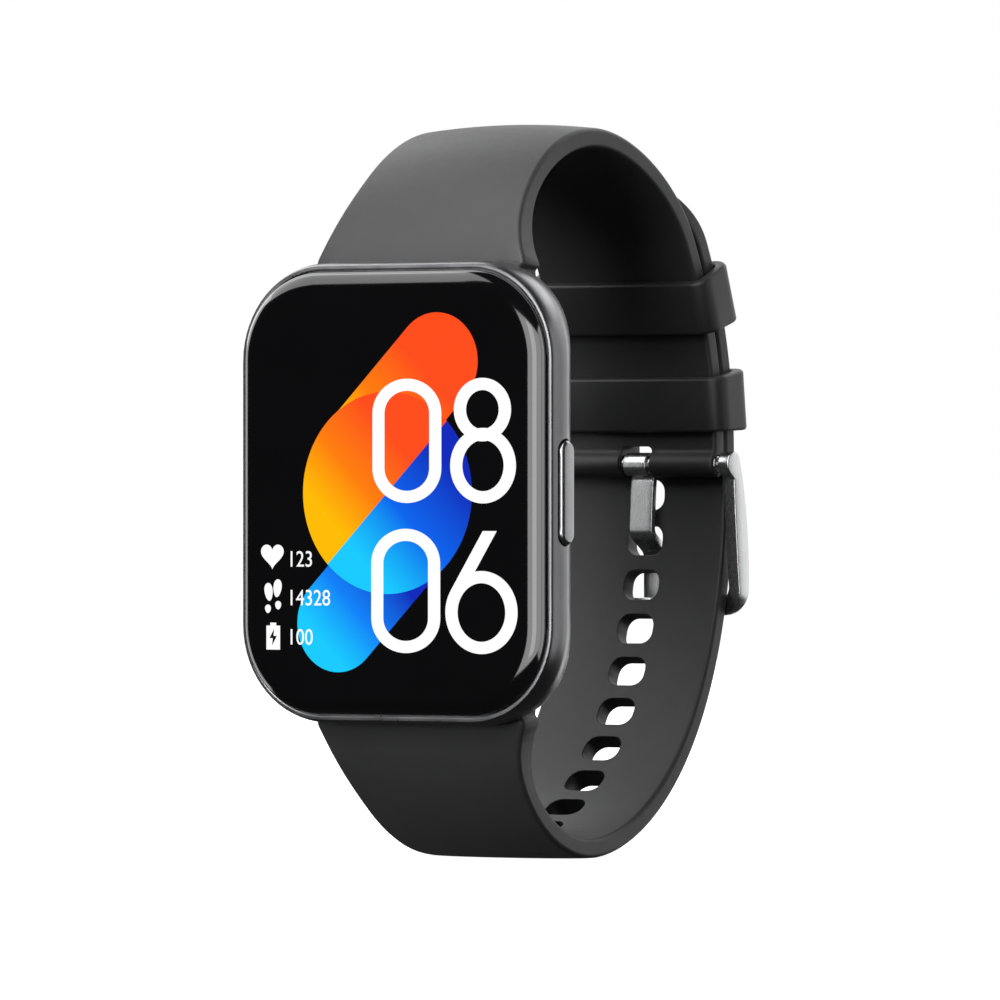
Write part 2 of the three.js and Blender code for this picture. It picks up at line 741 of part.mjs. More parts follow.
const backArc = (radius, from, to, clockwise) =>
  new THREE.EllipseCurve(arcCentre.x, arcCentre.y, radius, radius, from, to, clockwise);

// A smooth curve between two points that leaves and arrives along given directions.
function blend(from, leave, startPull, to, arrive, endPull) {
  return new THREE.CubicBezierCurve(
    from,
    from.clone().addScaledVector(leave, startPull),
    to.clone().addScaledVector(arrive, -endPull),
    to,
  );
}

const back = new THREE.Vector2(1, 0);

// Up from the case, over the top and down the back to the buckle bar.
function upperLine() {
  const bar = new THREE.Vector2(barY, barZ);
  const top = new THREE.Vector2(topAt, loopTop);
  const meet = onArc(backRadius, backTop);
  const down = new THREE.Vector2(Math.sin(backTop), -Math.cos(backTop));
  const leave = new THREE.Vector2(Math.sin(rise.lean), Math.cos(rise.lean));
  const end = Math.asin((hingeZ - backCentre) / backRadius);
  const line = new THREE.CurvePath();
  line.add(blend(bar, leave, rise.start, top, back, rise.end));
  line.add(blend(top, back, shoulder.start, meet, down, shoulder.end));
  line.add(backArc(backRadius, backTop, end, true));
  return line;
}

// Down from the case, under the bottom, up inside the buckle and over the upper strap.
function lowerLine() {
  const bar = new THREE.Vector2(barY, -barZ);
  const bottom = new THREE.Vector2(bottomAt, -loopTop);
  const meet = onArc(outerRadius, crossAt);
  const up = new THREE.Vector2(-Math.sin(crossAt), Math.cos(crossAt));
  const leave = new THREE.Vector2(Math.sin(fall.lean), -Math.cos(fall.lean));
  const line = new THREE.CurvePath();
  line.add(blend(bar, leave, fall.start, bottom, back, fall.end));
  line.add(blend(bottom, back, sweepUp.start, meet, up, sweepUp.end));
  line.add(backArc(outerRadius, crossAt, tipAt, false));
  return line;
}

// A place on a strap line: its point, its direction and the way to the wrist.
function station(line, side, distance) {
  const u = THREE.MathUtils.clamp(distance / line.getLength(), 0, 1);
  const point = line.getPointAt(u);
  const along = line.getTangentAt(u);
  const inward = new THREE.Vector2(along.y, -along.x).multiplyScalar(side);
  return { point, along, inward };
}

// The distance along the line where it passes a height, searched from one end of a span.
function distanceAtHeight(line, height, from, to) {
  const length = line.getLength();
  let [low, high] = [from, to];
  for (let i = 0; i < 40; i++) {
    const middle = (low + high) / 2;
    if (line.getPointAt(middle / length).y < height) low = middle;
    else high = middle;
  }
  return (low + high) / 2;
}

const easeBetween = (distance, a, b) =>
  a + (b - a) * THREE.MathUtils.smoothstep(distance, wideRun, taperRun);

// The strap as a skin over rounded rectangles, each square to the line.
function strapBody(line, side, distances, halfAt) {
  const rings = distances.map((distance) => {
    const { point, inward } = station(line, side, distance);
    const halfThick = easeBetween(distance, strapEndThickness / 2, strapThickness / 2);
    const edge = Math.min(strapEdge, halfThick * 0.6);
    return roundedRect(halfAt(distance), halfThick, edge)
      .getPoints(1)
      .map(({ x, y }) => new THREE.Vector3(x, point.x + inward.x * y, point.y + inward.y * y));
  });
  return loft(rings);
}

const spread = (from, to, step) => {
  const count = Math.max(1, Math.ceil((to - from) / step));
  return Array.from({ length: count + 1 }, (_, i) => from + ((to - from) * i) / count);
};

const endHalf = pocketHalf - pocketGap;
const strapHalfAt = (distance) =>
  strapHalf + (endHalf - strapHalf) * Math.exp(-Math.max(distance - wideRun, 0) / taperFade);

// The thick end that fills the pocket round the spring bar, with the knob's window.
function barrel(end) {
  return rodX(barrelRadius, -endHalf, endHalf, barY, end * barZ, 24);
}

function barCuts(end) {
  const z = end * barZ;
  const knobX = pocketHalf - knobFromEnd;
  return [
    rodX(tubeRadius + 0.1, -pocketHalf - 1, pocketHalf + 1, barY, z),
    box(knobX - releaseTravel - 0.6, knobX + 0.6, barY, barY + 4, z - 0.65, z + 0.65),
  ];
}

// ---------------------------------------------------------------- straps

const upper = upperLine();
const lower = lowerLine();
const hingeRadius = backRadius - hingeInset;
const hinge = onArc(hingeRadius, Math.asin((hingeZ - backCentre) / hingeRadius));

function upperStrap() {
  const length = upper.getLength();
  const body = strapBody(upper, 1, spread(0, length, 2.6), strapHalfAt);
  return cut(
    join(
      body,
      barrel(1),
      rodX(buckleBarrel, -strapHalf, strapHalf, hinge.x, hingeZ, 20),
    ),
    ...barCuts(1),
    rodX(tubeRadius + 0.1, -strapHalf - 1, strapHalf + 1, hinge.x, hingeZ),
    box(-slotWidth / 2, slotWidth / 2, hinge.x - 4, hinge.x + 4, hingeZ - 4, hingeZ + slotReach),
  );
}

// The tail narrows to a round tip over its last stretch.
function lowerHalfAt(distance) {
  const run = (distance - (lower.getLength() - tipRun)) / tipRun;
  if (run <= 0) return strapHalfAt(distance);
  return strapHalf * Math.max(0.12, (1 - run ** 2.2) ** (1 / 2.2));
}

function holeCutter(distance) {
  const { point, along, inward } = station(lower, -1, distance);
  const shape = roundedRect(holeWidth / 2, holeLength / 2, holeCorner);
  const options = { depth: 8, bevelEnabled: false, curveSegments: 1 };
  const matrix = new THREE.Matrix4().makeBasis(
    new THREE.Vector3(1, 0, 0),
    new THREE.Vector3(0, along.x, along.y),
    new THREE.Vector3(0, inward.x, inward.y),
  );
  const start = point.clone().addScaledVector(inward, -4);
  matrix.setPosition(0, start.x, start.y);
  return solid(new THREE.ExtrudeGeometry(shape, options).applyMatrix4(matrix));
}

function lowerStrap() {
  const length = lower.getLength();
  const tail = length - tipRun;
  const tip = [0.3, 0.55, 0.75, 0.9, 1].map((part) => tail + tipRun * part);
  const body = strapBody(lower, -1, [...spread(0, tail, 2.6), ...tip], lowerHalfAt);
  const buckled = distanceAtHeight(lower, buckledHoleZ, length * 0.5, length);
  const holes = [];
  for (let i = -holesBefore; i <= holesBeyond; i++) holes.push(holeCutter(buckled + i * holePitch));
  return cut(join(body, barrel(-1)), ...barCuts(-1), ...holes);
}

// ---------------------------------------------------------------- keepers

// A block that follows the back arc, between two radii and two angles.
function arcBlock(halfX, inside, outside, corner, from, to) {
  const steps = 3;
  const rings = [];
  for (let i = 0; i <= steps; i++) {
    const angle = from + ((to - from) * i) / steps;
    const middle = onArc((inside + outside) / 2, angle);
    const ring = roundedRect(halfX, (outside - inside) / 2, corner)
      .getPoints(corner > strapEdge ? 2 : 1)
      .map(
        ({ x, y }) =>
          new THREE.Vector3(x, middle.x + Math.cos(angle) * y, middle.y + Math.sin(angle) * y),
      );
    rings.push(ring);
  }
  return loft(rings);
}

function keeper(at) {
  const inside = backRadius - strapThickness / 2 - keeperGap;
  const outside = outerRadius + strapThickness / 2 + keeperGap;
  const half = keeperLength / 2 / backRadius;
  const halfX = strapHalf + keeperGap + 0.08;
  return cut(
    arcBlock(halfX + keeperSide, inside - keeperWall, outside + keeperWall, 1.6, at - half, at + half),
    arcBlock(halfX, inside, outside, 0.5, at - 2 * half, at + 2 * half),
  );
}

// ---------------------------------------------------------------- buckle

const hingeY = hinge.x;
const strapOuterY = (z) => {
  const length = lower.getLength();
  const at = distanceAtHeight(lower, z, length * 0.5, length);
  const { point, inward } = station(lower, -1, at);
  return point.x - (inward.x * strapThickness) / 2;
};
const farBarZ = hingeZ - frameReach + farBarHeight / 2;
const farBarY = strapOuterY(farBarZ) + farBarGap;

function buckleFrame() {
  const foot = hingeZ - frameReach;
  const outline = new THREE.Shape();
  outline.absarc(hingeY, hingeZ, earRadius, 0.65, 1.5 * Math.PI);
  outline.quadraticCurveTo(hingeY + 0.35, hingeZ - 7, farBarY - 0.7, foot + 1.3);
  outline.quadraticCurveTo(farBarY - 0.6, foot, farBarY + 0.1, foot);
  outline.lineTo(farBarY + farBarDepth, foot);
  const top = [hingeY + earRadius * Math.cos(0.65), hingeZ + earRadius * Math.sin(0.65)];
  outline.quadraticCurveTo(farBarY + farBarDepth + frameBow, hingeZ - 5.8, ...top);
  const barShape = roundedRect(farBarDepth / 2, farBarHeight / 2, 0.5);
  const farBar = slabX(barShape, -armOuter, armOuter, 3);
  const arms = [-1, 1].map((side) => {
    const x0 = side > 0 ? armInner : -armOuter;
    return slabX(outline, x0, x0 + armWidth, 4);
  });
  const plan = new THREE.Shape();
  plan.moveTo(armOuter, hingeZ + 5);
  plan.lineTo(-armOuter, hingeZ + 5);
  plan.absarc(frameCorner - armOuter, foot + frameCorner, frameCorner, Math.PI, 1.5 * Math.PI);
  plan.absarc(armOuter - frameCorner, foot + frameCorner, frameCorner, 1.5 * Math.PI, 2 * Math.PI);
  const envelope = plate(plan, thickness + backReach - 8, thickness + backReach + 12, 4);
  const frame = join(...arms, farBar.translate([0, farBarY + farBarDepth / 2, farBarZ]));
  const holes = [-1, 1].map((side) => {
    const reach = armInner + tipReach + 0.1;
    const [x0, x1] = side > 0 ? [armInner - 1, reach] : [-reach, 1 - armInner];
    return rodX(tipRadius + boreGap, x0, x1, hingeY, hingeZ);
  });
  return cut(frame.intersect(envelope), ...holes);
}

// The tongue is a bent strip: rolled round the bar, flat against the strap's wrist side,
// out through the hole in use and down over the far bar.
function buckleTongue() {
  const inner = (z) => strapOuterY(z) - strapThickness - tongueThickness / 2 - tonguePlay;
  const kneeZ = buckledHoleZ + 0.75;
  const overBar = farBarY + farBarDepth + tongueThickness / 2 + 0.08;
  const knees = [
    [hingeY + 0.62, hingeZ - 0.4],
    [inner(hingeZ - 2.2), hingeZ - 2.2],
    [inner(kneeZ), kneeZ],
    [overBar - 0.05, kneeZ - 1.75],
    [overBar, hingeZ - frameReach - 0.15],
  ].map(([y, z]) => new THREE.Vector2(y, z));
  const bend = 0.55;
  const line = new THREE.Path();
  line.moveTo(knees[0].x, knees[0].y);
  for (let i = 1; i < knees.length - 1; i++) {
    const towards = knees[i - 1].clone().sub(knees[i]).setLength(bend).add(knees[i]);
    const away = knees[i + 1].clone().sub(knees[i]).setLength(bend).add(knees[i]);
    line.lineTo(towards.x, towards.y);
    line.quadraticCurveTo(knees[i].x, knees[i].y, away.x, away.y);
  }
  line.lineTo(knees.at(-1).x, knees.at(-1).y);
  const strip = slabX(ribbon(line.getPoints(4), tongueThickness), -tongueWidth / 2, tongueWidth / 2);
  const roll = rodX(tongueRoot, -tongueWidth / 2, tongueWidth / 2, hingeY, hingeZ, 20);
  const eye = rodX(tubeRadius + boreGap, -tongueWidth, tongueWidth, hingeY, hingeZ);
  return cut(join(strip, roll), eye);
}

// The outline of a strip of even thickness along a line of points.
function ribbon(points, width) {
  const edges = [[], []];
  points.forEach((point, i) => {
    const before = points[Math.max(0, i - 1)];
    const after = points[Math.min(points.length - 1, i + 1)];
    const along = after.clone().sub(before).normalize();
    const across = new THREE.Vector2(along.y, -along.x).multiplyScalar(width / 2);
    edges[0].push(point.clone().add(across));
    edges[1].unshift(point.clone().sub(across));
  });
  return new THREE.Shape([...edges[0], ...edges[1]]);
}

// ---------------------------------------------------------------- assembly

add("case_body", caseBody(), gunmetal);
displayParts();
boardParts();
buttonParts();
backParts();
springBar("upper_bar", barY, barZ, pocketHalf, releaseTravel, true);
springBar("lower_bar", barY, -barZ, pocketHalf, releaseTravel, true);
springBar("buckle_bar", hingeY, hingeZ, armInner, tipTravel, false);
add("upper_strap", upperStrap(), silicone);
add("lower_strap", lowerStrap(), silicone);
add("fixed_keeper", keeper(fixedKeeperAt), silicone);
add("free_keeper", keeper(freeKeeperAt), silicone);
add("buckle_frame", buckleFrame(), steel);
add("buckle_tongue", buckleTongue(), steel);

export default watch;
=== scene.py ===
"""A rectangular smartwatch whose silicone strap is buckled into a loop.

Lengths below are millimetres, and put() turns them into metres. +X is the button side, +Z is
twelve o'clock, and +Y runs from the display to the wrist.
"""
import json
import math

import bmesh
import bpy
import numpy as np
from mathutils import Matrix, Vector


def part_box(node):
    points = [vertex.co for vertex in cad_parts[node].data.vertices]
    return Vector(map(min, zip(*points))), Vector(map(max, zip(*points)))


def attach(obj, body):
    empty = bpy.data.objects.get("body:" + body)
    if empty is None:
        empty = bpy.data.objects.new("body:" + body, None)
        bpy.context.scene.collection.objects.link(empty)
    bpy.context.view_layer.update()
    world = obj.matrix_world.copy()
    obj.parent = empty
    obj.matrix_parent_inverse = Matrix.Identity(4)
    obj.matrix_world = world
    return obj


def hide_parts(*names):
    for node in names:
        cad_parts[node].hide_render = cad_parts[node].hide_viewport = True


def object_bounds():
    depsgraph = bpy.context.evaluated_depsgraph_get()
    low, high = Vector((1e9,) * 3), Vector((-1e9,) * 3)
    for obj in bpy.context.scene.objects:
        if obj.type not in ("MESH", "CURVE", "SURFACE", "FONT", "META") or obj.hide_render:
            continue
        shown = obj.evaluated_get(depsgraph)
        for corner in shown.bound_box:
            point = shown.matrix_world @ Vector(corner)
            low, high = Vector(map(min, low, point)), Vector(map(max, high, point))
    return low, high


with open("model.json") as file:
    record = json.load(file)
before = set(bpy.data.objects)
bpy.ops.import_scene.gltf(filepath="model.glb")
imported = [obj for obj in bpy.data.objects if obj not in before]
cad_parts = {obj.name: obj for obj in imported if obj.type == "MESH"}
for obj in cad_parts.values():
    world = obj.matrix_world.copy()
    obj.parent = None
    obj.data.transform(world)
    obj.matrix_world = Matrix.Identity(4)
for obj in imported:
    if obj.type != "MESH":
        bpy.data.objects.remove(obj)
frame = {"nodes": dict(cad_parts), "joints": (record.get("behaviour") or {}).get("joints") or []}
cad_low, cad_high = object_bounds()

MM = 0.001
QUARTER = 0.5 * math.pi
ON_AXIS = 0.001  # radius at which a turned profile starts and ends
NOISE_LOW, NOISE_HIGH = 0.3, 0.7  # the range that most of a noise pattern keeps to


def span(node):
    """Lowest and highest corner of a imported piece, in millimetres."""
    low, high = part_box(node)
    return np.array(low) / MM, np.array(high) / MM


def pivot(joint):
    """A joint's place, in millimetres."""
    found = next(j for j in frame["joints"] if j["name"] == joint)
    return np.array(found["pos_m"]) / MM


# ------------------------------------------------------------------ sizes of the watch

case_high = span("case_body")[1]
glass_low, glass_high = span("cover_glass")
cover_high = span("back_cover")[1]
window_high = span("sensor_window")[1]
button_low, button_high = span("side_button")

FRONT = glass_low[1]  # Y of the glass front
CASE_X = case_high[0]
CASE_Z = case_high[2]
CASE_CORNER = 9.3
RIM_DEPTH = 1.45  # depths are measured back from the glass front
RIM_INSET = 0.5
RIM_WIDTH = 0.25
BELLY_FRONT = 3.4
BELLY_BACK = 3.6
SIDE_INSET = (3.75, 1.3)  # how far the back edge draws in at the sides, and the curve's power
END_INSET = (1.7, 2.2)  # the same at the strap ends
BACK_EDGE = 9.1  # where the side turns into the back
CASE_BACK = 9.4
GLASS_GAP = 0.15
GLASS_CORNER = CASE_CORNER - RIM_INSET - RIM_WIDTH - GLASS_GAP
GLASS_MARGIN = 1.75
GLASS_DROP = 1.35
GLASS_THICK = 1.7

CAVITY_X = 12.45
CAVITY_Z = 15.45
CAVITY_CORNER = 3
COVER_LEDGE = 0.7
COVER_CORNER = 3.6
COVER_DEPTH = 8.75
COVER_FACE = 9.6
SEAT_FLOOR = 8.5  # depth of the ledge under the back cover
SEAT_CORNER = 3.7
PANEL_SHELF = (15.3, 19.75, 6)  # half width, half height and corner of the room for the display
PANEL_FLOOR = 2.95
LEDGE_DEPTH = 1.85
LEDGE_INSET = RIM_INSET + RIM_WIDTH

DOME_FOOT = 12.2
DOME_TOP = 11.1
DOME_HEIGHT = 0.75
WINDOW_RADIUS = window_high[0]
WINDOW_FLAT = 6.6
WINDOW_SEAT = 9.85
WINDOW_BACK, WINDOW_EDGE, WINDOW_FACE = 9.9, 10.36, 10.8
WINDOW_OPENING = 8.5  # radius of the hole under the window

BUTTON_DEPTH = 3.4
BUTTON_HALF = 1.025
BUTTON_LENGTH_HALF = 4.85
BUTTON_FACE = button_high[0]
STEM_DEPTH = 3.78
STEM_RADIUS = 0.55
SLOT_GAP = 0.15
SLOT_DEPTH = 1.55

BAR_Y = -3.8
BAR_Z = 18.9
BAR_BORE = 0.9
BORE_HALF = 14
POCKET_HALF = 11.6
POCKET_GAP = 0.25
BARREL = 1.9
STRAP_HALF = 9.0
STRAP_THICK = 1.8
STRAP_END_THICK = 3.0
WIDE_RUN = 3.0
TAPER_RUN = 12.0
TAPER_FADE = 6.0
SHOULDER_OUT = 0.4  # extra half-width beside the case
SHOULDER_FADE = 2.2
CROWN = 0.5
CROWN_RISE, CROWN_FALL = 9, 12  # the lengths over which the crown comes and goes

BACK_RADIUS = 41.3  # middle line of the upper strap at the back of the loop
OUTER_RADIUS = BACK_RADIUS + STRAP_THICK + 0.15
ARC_CENTRE = pivot("free_keeper_slide")[1:]
HINGE = pivot("buckle_swing")[1:]

HOLE_WIDE = 4.0
HOLE_LONG = 3.0
HOLE_CORNER = 1.2
HOLE_PITCH = 4.5
HOLE_FLARE = 0.08
HOLES_BELOW, HOLES_ABOVE = 8, 5
BUCKLED_Z = -4.7  # height of the hole that the tongue is through

ARM_INNER = 9.55
ARM_WIDTH = 1.35
EAR = 1.2
FRAME_REACH = 14.7
FAR_BAR_HEIGHT = 1.7
FAR_BAR_DEPTH = 0.85
FAR_BAR_GAP = 0.25
TUBE = 0.8


def at(depth):
    """Y of a depth behind the glass front."""
    return FRONT + depth


# ------------------------------------------------------------------ camera

CAMERA_PLACE = (499.06, -759.83, -0.67)
CAMERA_AIM = (8.88, -5.03, -0.67)
FOCAL_LENGTH = 345.7

camera = bpy.data.objects.new("camera", bpy.data.cameras.new("camera"))
bpy.context.scene.collection.objects.link(camera)
camera.data.sensor_width = 36
camera.data.lens = FOCAL_LENGTH
camera.data.clip_start = 0.05
camera.data.clip_end = 20
camera.location = Vector(CAMERA_PLACE) * MM
aim = Vector(CAMERA_AIM) * MM
camera.rotation_euler = (aim - camera.location).to_track_quat("-Z", "Y").to_euler()
bpy.context.scene.camera = camera


# ------------------------------------------------------------------ finishes


class Finish:
    """A node material: a principled surface with noise, mapping and maths hung on it."""

    def __init__(self, name, colour, rough, metal=0.0, **sockets):
        self.material = bpy.data.materials.new(name)
        self.material.use_nodes = True
        self.material.diffuse_color = (*colour, 1)
        self.tree = self.material.node_tree
        self.surface = self.tree.nodes["Principled BSDF"]
        self.put("Base Color", (*colour, 1))
        self.put("Roughness", rough)
        self.put("Metallic", metal)
        for socket, value in sockets.items():
            self.put(socket.replace("_", " "), value)
        self.colour = colour

    def put(self, socket, value):
        self.surface.inputs[socket].default_value = value

    def node(self, kind, **settings):
        made = self.tree.nodes.new(kind)
        for key, value in settings.items():
            if key in made.inputs:
                made.inputs[key].default_value = value
            else:
                setattr(made, key, value)
        return made

    def link(self, source, target):
        self.tree.links.new(source, target)

    def place(self, scale=(1, 1, 1), turn=(0, 0, 0)):
        """Object coordinates in millimetres, scaled and turned."""
        where = self.node("ShaderNodeTexCoord")
        mapping = self.node("ShaderNodeMapping")
        mapping.inputs["Scale"].default_value = [value / MM for value in scale]
        mapping.inputs["Rotation"].default_value = turn
        self.link(where.outputs["Object"], mapping.inputs["Vector"])
        return mapping.outputs["Vector"]

    def noise(self, scale, detail=2.0, stretch=(1, 1, 1), distortion=0.0):
        made = self.node("ShaderNodeTexNoise", Scale=scale, Detail=detail)
        made.inputs["Distortion"].default_value = distortion
        self.link(self.place(stretch), made.inputs["Vector"])
        return made.outputs["Fac"]

    def between(self, factor, low, high):
        """A factor carried to the range low to high."""
        made = self.node("ShaderNodeMapRange")
        made.inputs["From Min"].default_value = NOISE_LOW
        made.inputs["From Max"].default_value = NOISE_HIGH
        made.inputs["To Min"].default_value = low
        made.inputs["To Max"].default_value = high
        self.link(factor, made.inputs["Value"])
        return made.outputs["Result"]

    def ramp(self, factor, *stops):
        made = self.node("ShaderNodeValToRGB")
        ramp = made.color_ramp
        while len(ramp.elements) < len(stops):
            ramp.elements.new(0.5)
        for element, (position, colour) in zip(ramp.elements, stops):
            element.position = position
            element.color = (*colour, 1)
        self.link(factor, made.inputs["Fac"])
        return made.outputs["Color"]

    def mottle(self, factor, depth):
        """Colour that strays from the base by a share of it."""
        low = tuple(c * (1 - depth) for c in self.colour)
        high = tuple(c * (1 + depth) for c in self.colour)
        colours = self.ramp(factor, (NOISE_LOW, low), (NOISE_HIGH, high))
        self.link(colours, self.surface.inputs["Base Color"])
        return self

    def roughen(self, factor, low, high):
        self.link(self.between(factor, low, high), self.surface.inputs["Roughness"])
        return self

    def bump(self, factor, height, strength=1.0):
        made = self.node("ShaderNodeBump", Strength=strength)
        made.inputs["Distance"].default_value = height * MM
        self.link(factor, made.inputs["Height"])
        self.link(made.outputs["Normal"], self.surface.inputs["Normal"])
        return self


def satin_metal(name, colour, rough):
    """Bead-blasted metal: a fine even grain with faint cloudy patches."""
    made = Finish(name, colour, rough, 1.0)
    made.mottle(made.noise(0.35, 3), 0.05)
    made.roughen(made.noise(0.8, 4), rough - 0.03, rough + 0.04)
    return made.bump(made.noise(14, 2), 0.004, 0.35)


def brushed_metal(name, colour, rough, along=(9, 9, 0.25)):
    """Brushed steel: noise drawn out into long scratches."""
    made = Finish(name, colour, rough, 1.0)
    made.mottle(made.noise(1.6, 4, along), 0.07)
    made.roughen(made.noise(2.2, 5, along), rough - 0.07, rough + 0.1)
    return made.bump(made.noise(2.5, 4, along), 0.004, 0.4)


def moulded_silicone(name, colour, rough):
    """Soft moulded silicone: a fine matt grain with a faint bloom that lifts the roughness."""
    made = Finish(name, colour, rough, 0.0, Specular_IOR_Level=0.42, Sheen_Weight=0.05)
    made.put("Sheen Roughness", 0.5)
    made.mottle(made.noise(0.5, 5, distortion=0.4), 0.05)
    made.roughen(made.noise(1.5, 5), rough - 0.02, rough + 0.03)
    return made.bump(made.noise(9, 3), 0.006, 0.3)


def moulded_plastic(name, colour, rough, grain=6.0):
    """Moulded plastic with a fine spark-eroded texture."""
    made = Finish(name, colour, rough)
    made.mottle(made.noise(0.3, 3), 0.08)
    made.roughen(made.noise(1.2, 4), rough - 0.05, rough + 0.05)
    return made.bump(made.noise(grain, 2), 0.006, 0.35)


def polished_glass(name, colour):
    """Polished black glass with faint smudges in its gloss."""
    made = Finish(name, colour, 0.12, 0.0, Specular_IOR_Level=0.62, IOR=1.55)
    made.mottle(made.noise(0.1, 2), 0.1)
    return made.roughen(made.noise(0.22, 4, distortion=0.8), 0.085, 0.11)


case_finish = satin_metal("gunmetal_satin", (0.21, 0.21, 0.216), 0.3)
button_finish = satin_metal("button_satin", (0.3, 0.3, 0.305), 0.24)
steel_finish = brushed_metal("buckle_brushed", (0.58, 0.585, 0.59), 0.27)
bar_finish = brushed_metal("bar_turned", (0.6, 0.6, 0.6), 0.22, (0.4, 9, 9))
screw_finish = brushed_metal("screw_steel", (0.45, 0.45, 0.46), 0.3, (2, 2, 2))
strap_finish = moulded_silicone("strap_silicone", (0.026, 0.026, 0.0275), 0.5)
keeper_finish = moulded_silicone("keeper_silicone", (0.024, 0.024, 0.0255), 0.45)
glass_finish = polished_glass("cover_glass_black", (0.0025, 0.0025, 0.003))
cover_finish = moulded_plastic("back_cover_plastic", (0.022, 0.022, 0.023), 0.42)
inner_finish = moulded_plastic("inner_plastic", (0.03, 0.03, 0.032), 0.55, 3)
rubber_finish = moulded_plastic("seal_rubber", (0.02, 0.02, 0.02), 0.75, 4)
gold_finish = satin_metal("contact_gold", (0.78, 0.56, 0.22), 0.22)
shield_finish = brushed_metal("shield_tin", (0.62, 0.62, 0.6), 0.34, (1.5, 1.5, 0.4))
film_finish = moulded_plastic("flex_film", (0.35, 0.17, 0.045), 0.35, 2)
chip_finish = moulded_plastic("chip_resin", (0.018, 0.018, 0.02), 0.5, 5)
foil_finish = satin_metal("battery_foil", (0.16, 0.17, 0.19), 0.42)
led_finish = moulded_plastic("led_lens", (0.25, 0.6, 0.3), 0.15, 1)
panel_finish = moulded_plastic("display_stack", (0.012, 0.012, 0.016), 0.2, 1)


def circuit_lacquer():
    """Green solder lacquer with paler copper traces under it."""
    made = Finish("circuit_lacquer", (0.012, 0.085, 0.04), 0.35)
    bricks = made.node("ShaderNodeTexBrick", offset=0.5, Scale=1.0)
    bricks.inputs["Color1"].default_value = (0.012, 0.085, 0.04, 1)
    bricks.inputs["Color2"].default_value = (0.014, 0.1, 0.045, 1)
    bricks.inputs["Mortar"].default_value = (0.05, 0.17, 0.08, 1)
    bricks.inputs["Mortar Size"].default_value = 0.03
    made.link(made.place((0.6, 0.6, 0.6), (QUARTER, 0, 0)), bricks.inputs["Vector"])
    made.link(bricks.outputs["Color"], made.surface.inputs["Base Color"])
    return made.bump(bricks.outputs["Fac"], 0.02, 0.4)


circuit_finish = circuit_lacquer()


def sensor_glass():
    """Black glass of the sensor window, with paler lenses over each lamp and the detector."""
    made = polished_glass("sensor_glass", (0.004, 0.004, 0.005))
    green, red = (0.03, 0.09, 0.045), (0.05, 0.02, 0.02)
    places = ((3.4, 1.15, green), (-3.4, 1.15, green), (0, 1.6, red))
    soft = 0.06
    colour = made.surface.inputs["Base Color"].links[0].from_socket
    for height, radius, tint in places:
        away = made.node("ShaderNodeVectorMath", operation="SUBTRACT")
        away.inputs[1].default_value = (0, 0, height)
        flat = made.node("ShaderNodeVectorMath", operation="MULTIPLY")
        flat.inputs[1].default_value = (1, 0, 1)
        length = made.node("ShaderNodeVectorMath", operation="LENGTH")
        inside = made.node("ShaderNodeMapRange")
        inside.inputs["From Min"].default_value = radius + soft
        inside.inputs["From Max"].default_value = radius - soft
        blend = made.node("ShaderNodeMix", data_type="RGBA")
        made.link(made.place(), away.inputs[0])
        made.link(away.outputs["Vector"], flat.inputs[0])
        made.link(flat.outputs["Vector"], length.inputs[0])
        made.link(length.outputs["Value"], inside.inputs["Value"])
        made.link(inside.outputs["Result"], blend.inputs["Factor"])
        made.link(colour, blend.inputs["A"])
        blend.inputs["B"].default_value = (*tint, 1)
        colour = blend.outputs["Result"]
    made.link(colour, made.surface.inputs["Base Color"])
    return made


window_finish = sensor_glass()


def lit(name, *stops, low, high):
    """Light from the display: a gradient of (place, colour) stops along the rising diagonal,
    from low to high in X + Z."""
    made = Finish(name, (0, 0, 0), 0.06)
    where = made.node("ShaderNodeSeparateXYZ")
    made.link(made.place(), where.inputs["Vector"])
    rising = made.node("ShaderNodeMath", operation="ADD")
    made.link(where.outputs["X"], rising.inputs[0])
    made.link(where.outputs["Z"], rising.inputs[1])
    share = made.node("ShaderNodeMapRange")
    share.inputs["From Min"].default_value = low
    share.inputs["From Max"].default_value = high
    made.link(rising.outputs["Value"], share.inputs["Value"])
    made.link(made.ramp(share.outputs["Result"], *stops), made.surface.inputs["Emission Color"])
    made.put("Emission Strength", 1.0)
    return made


# ------------------------------------------------------------------ making meshes


def skin(rings, joined=False, capped=True):
    """Quads between neighbouring rings, each closed on itself. joined also closes the last ring
    on the first, and capped puts one face over each end ring."""
    n, m = rings.shape[:2]
    i = np.arange(n if joined else n - 1)[:, None]
    j = np.arange(m)[None, :]
    nxt_i, nxt_j = (i + 1) % n, (j + 1) % m
    quads = np.stack([i * m + j, i * m + nxt_j, nxt_i * m + nxt_j, nxt_i * m + j], -1)
    faces = quads.reshape(-1, 4).tolist()
    if capped and not joined:
        faces += [list(range(m))[::-1], list(range((n - 1) * m, n * m))]
    return rings.reshape(-1, 3), faces


def mesh_of(name, points, faces):
    """A mesh in metres with coinciding points merged and faces turned outwards."""
    mesh = bpy.data.meshes.new(name)
    mesh.from_pydata((np.asarray(points, float) * MM).tolist(), [], faces)
    merge = 1e-4
    work = bmesh.new()
    work.from_mesh(mesh)
    bmesh.ops.remove_doubles(work, verts=work.verts, dist=merge * MM)
    bmesh.ops.dissolve_degenerate(work, dist=merge * MM, edges=work.edges)
    bmesh.ops.recalc_face_normals(work, faces=work.faces)
    work.to_mesh(mesh)
    work.free()
    return mesh


def smooth(mesh, degrees):
    mesh.polygons.foreach_set("use_smooth", [True] * len(mesh.polygons))
    mesh.set_sharp_from_angle(angle=math.radians(degrees))


def loose(name, points, faces):
    """A helper object that is removed once it has been used."""
    made = bpy.data.objects.new(name, mesh_of(name, points, faces))
    bpy.context.scene.collection.objects.link(made)
    return made


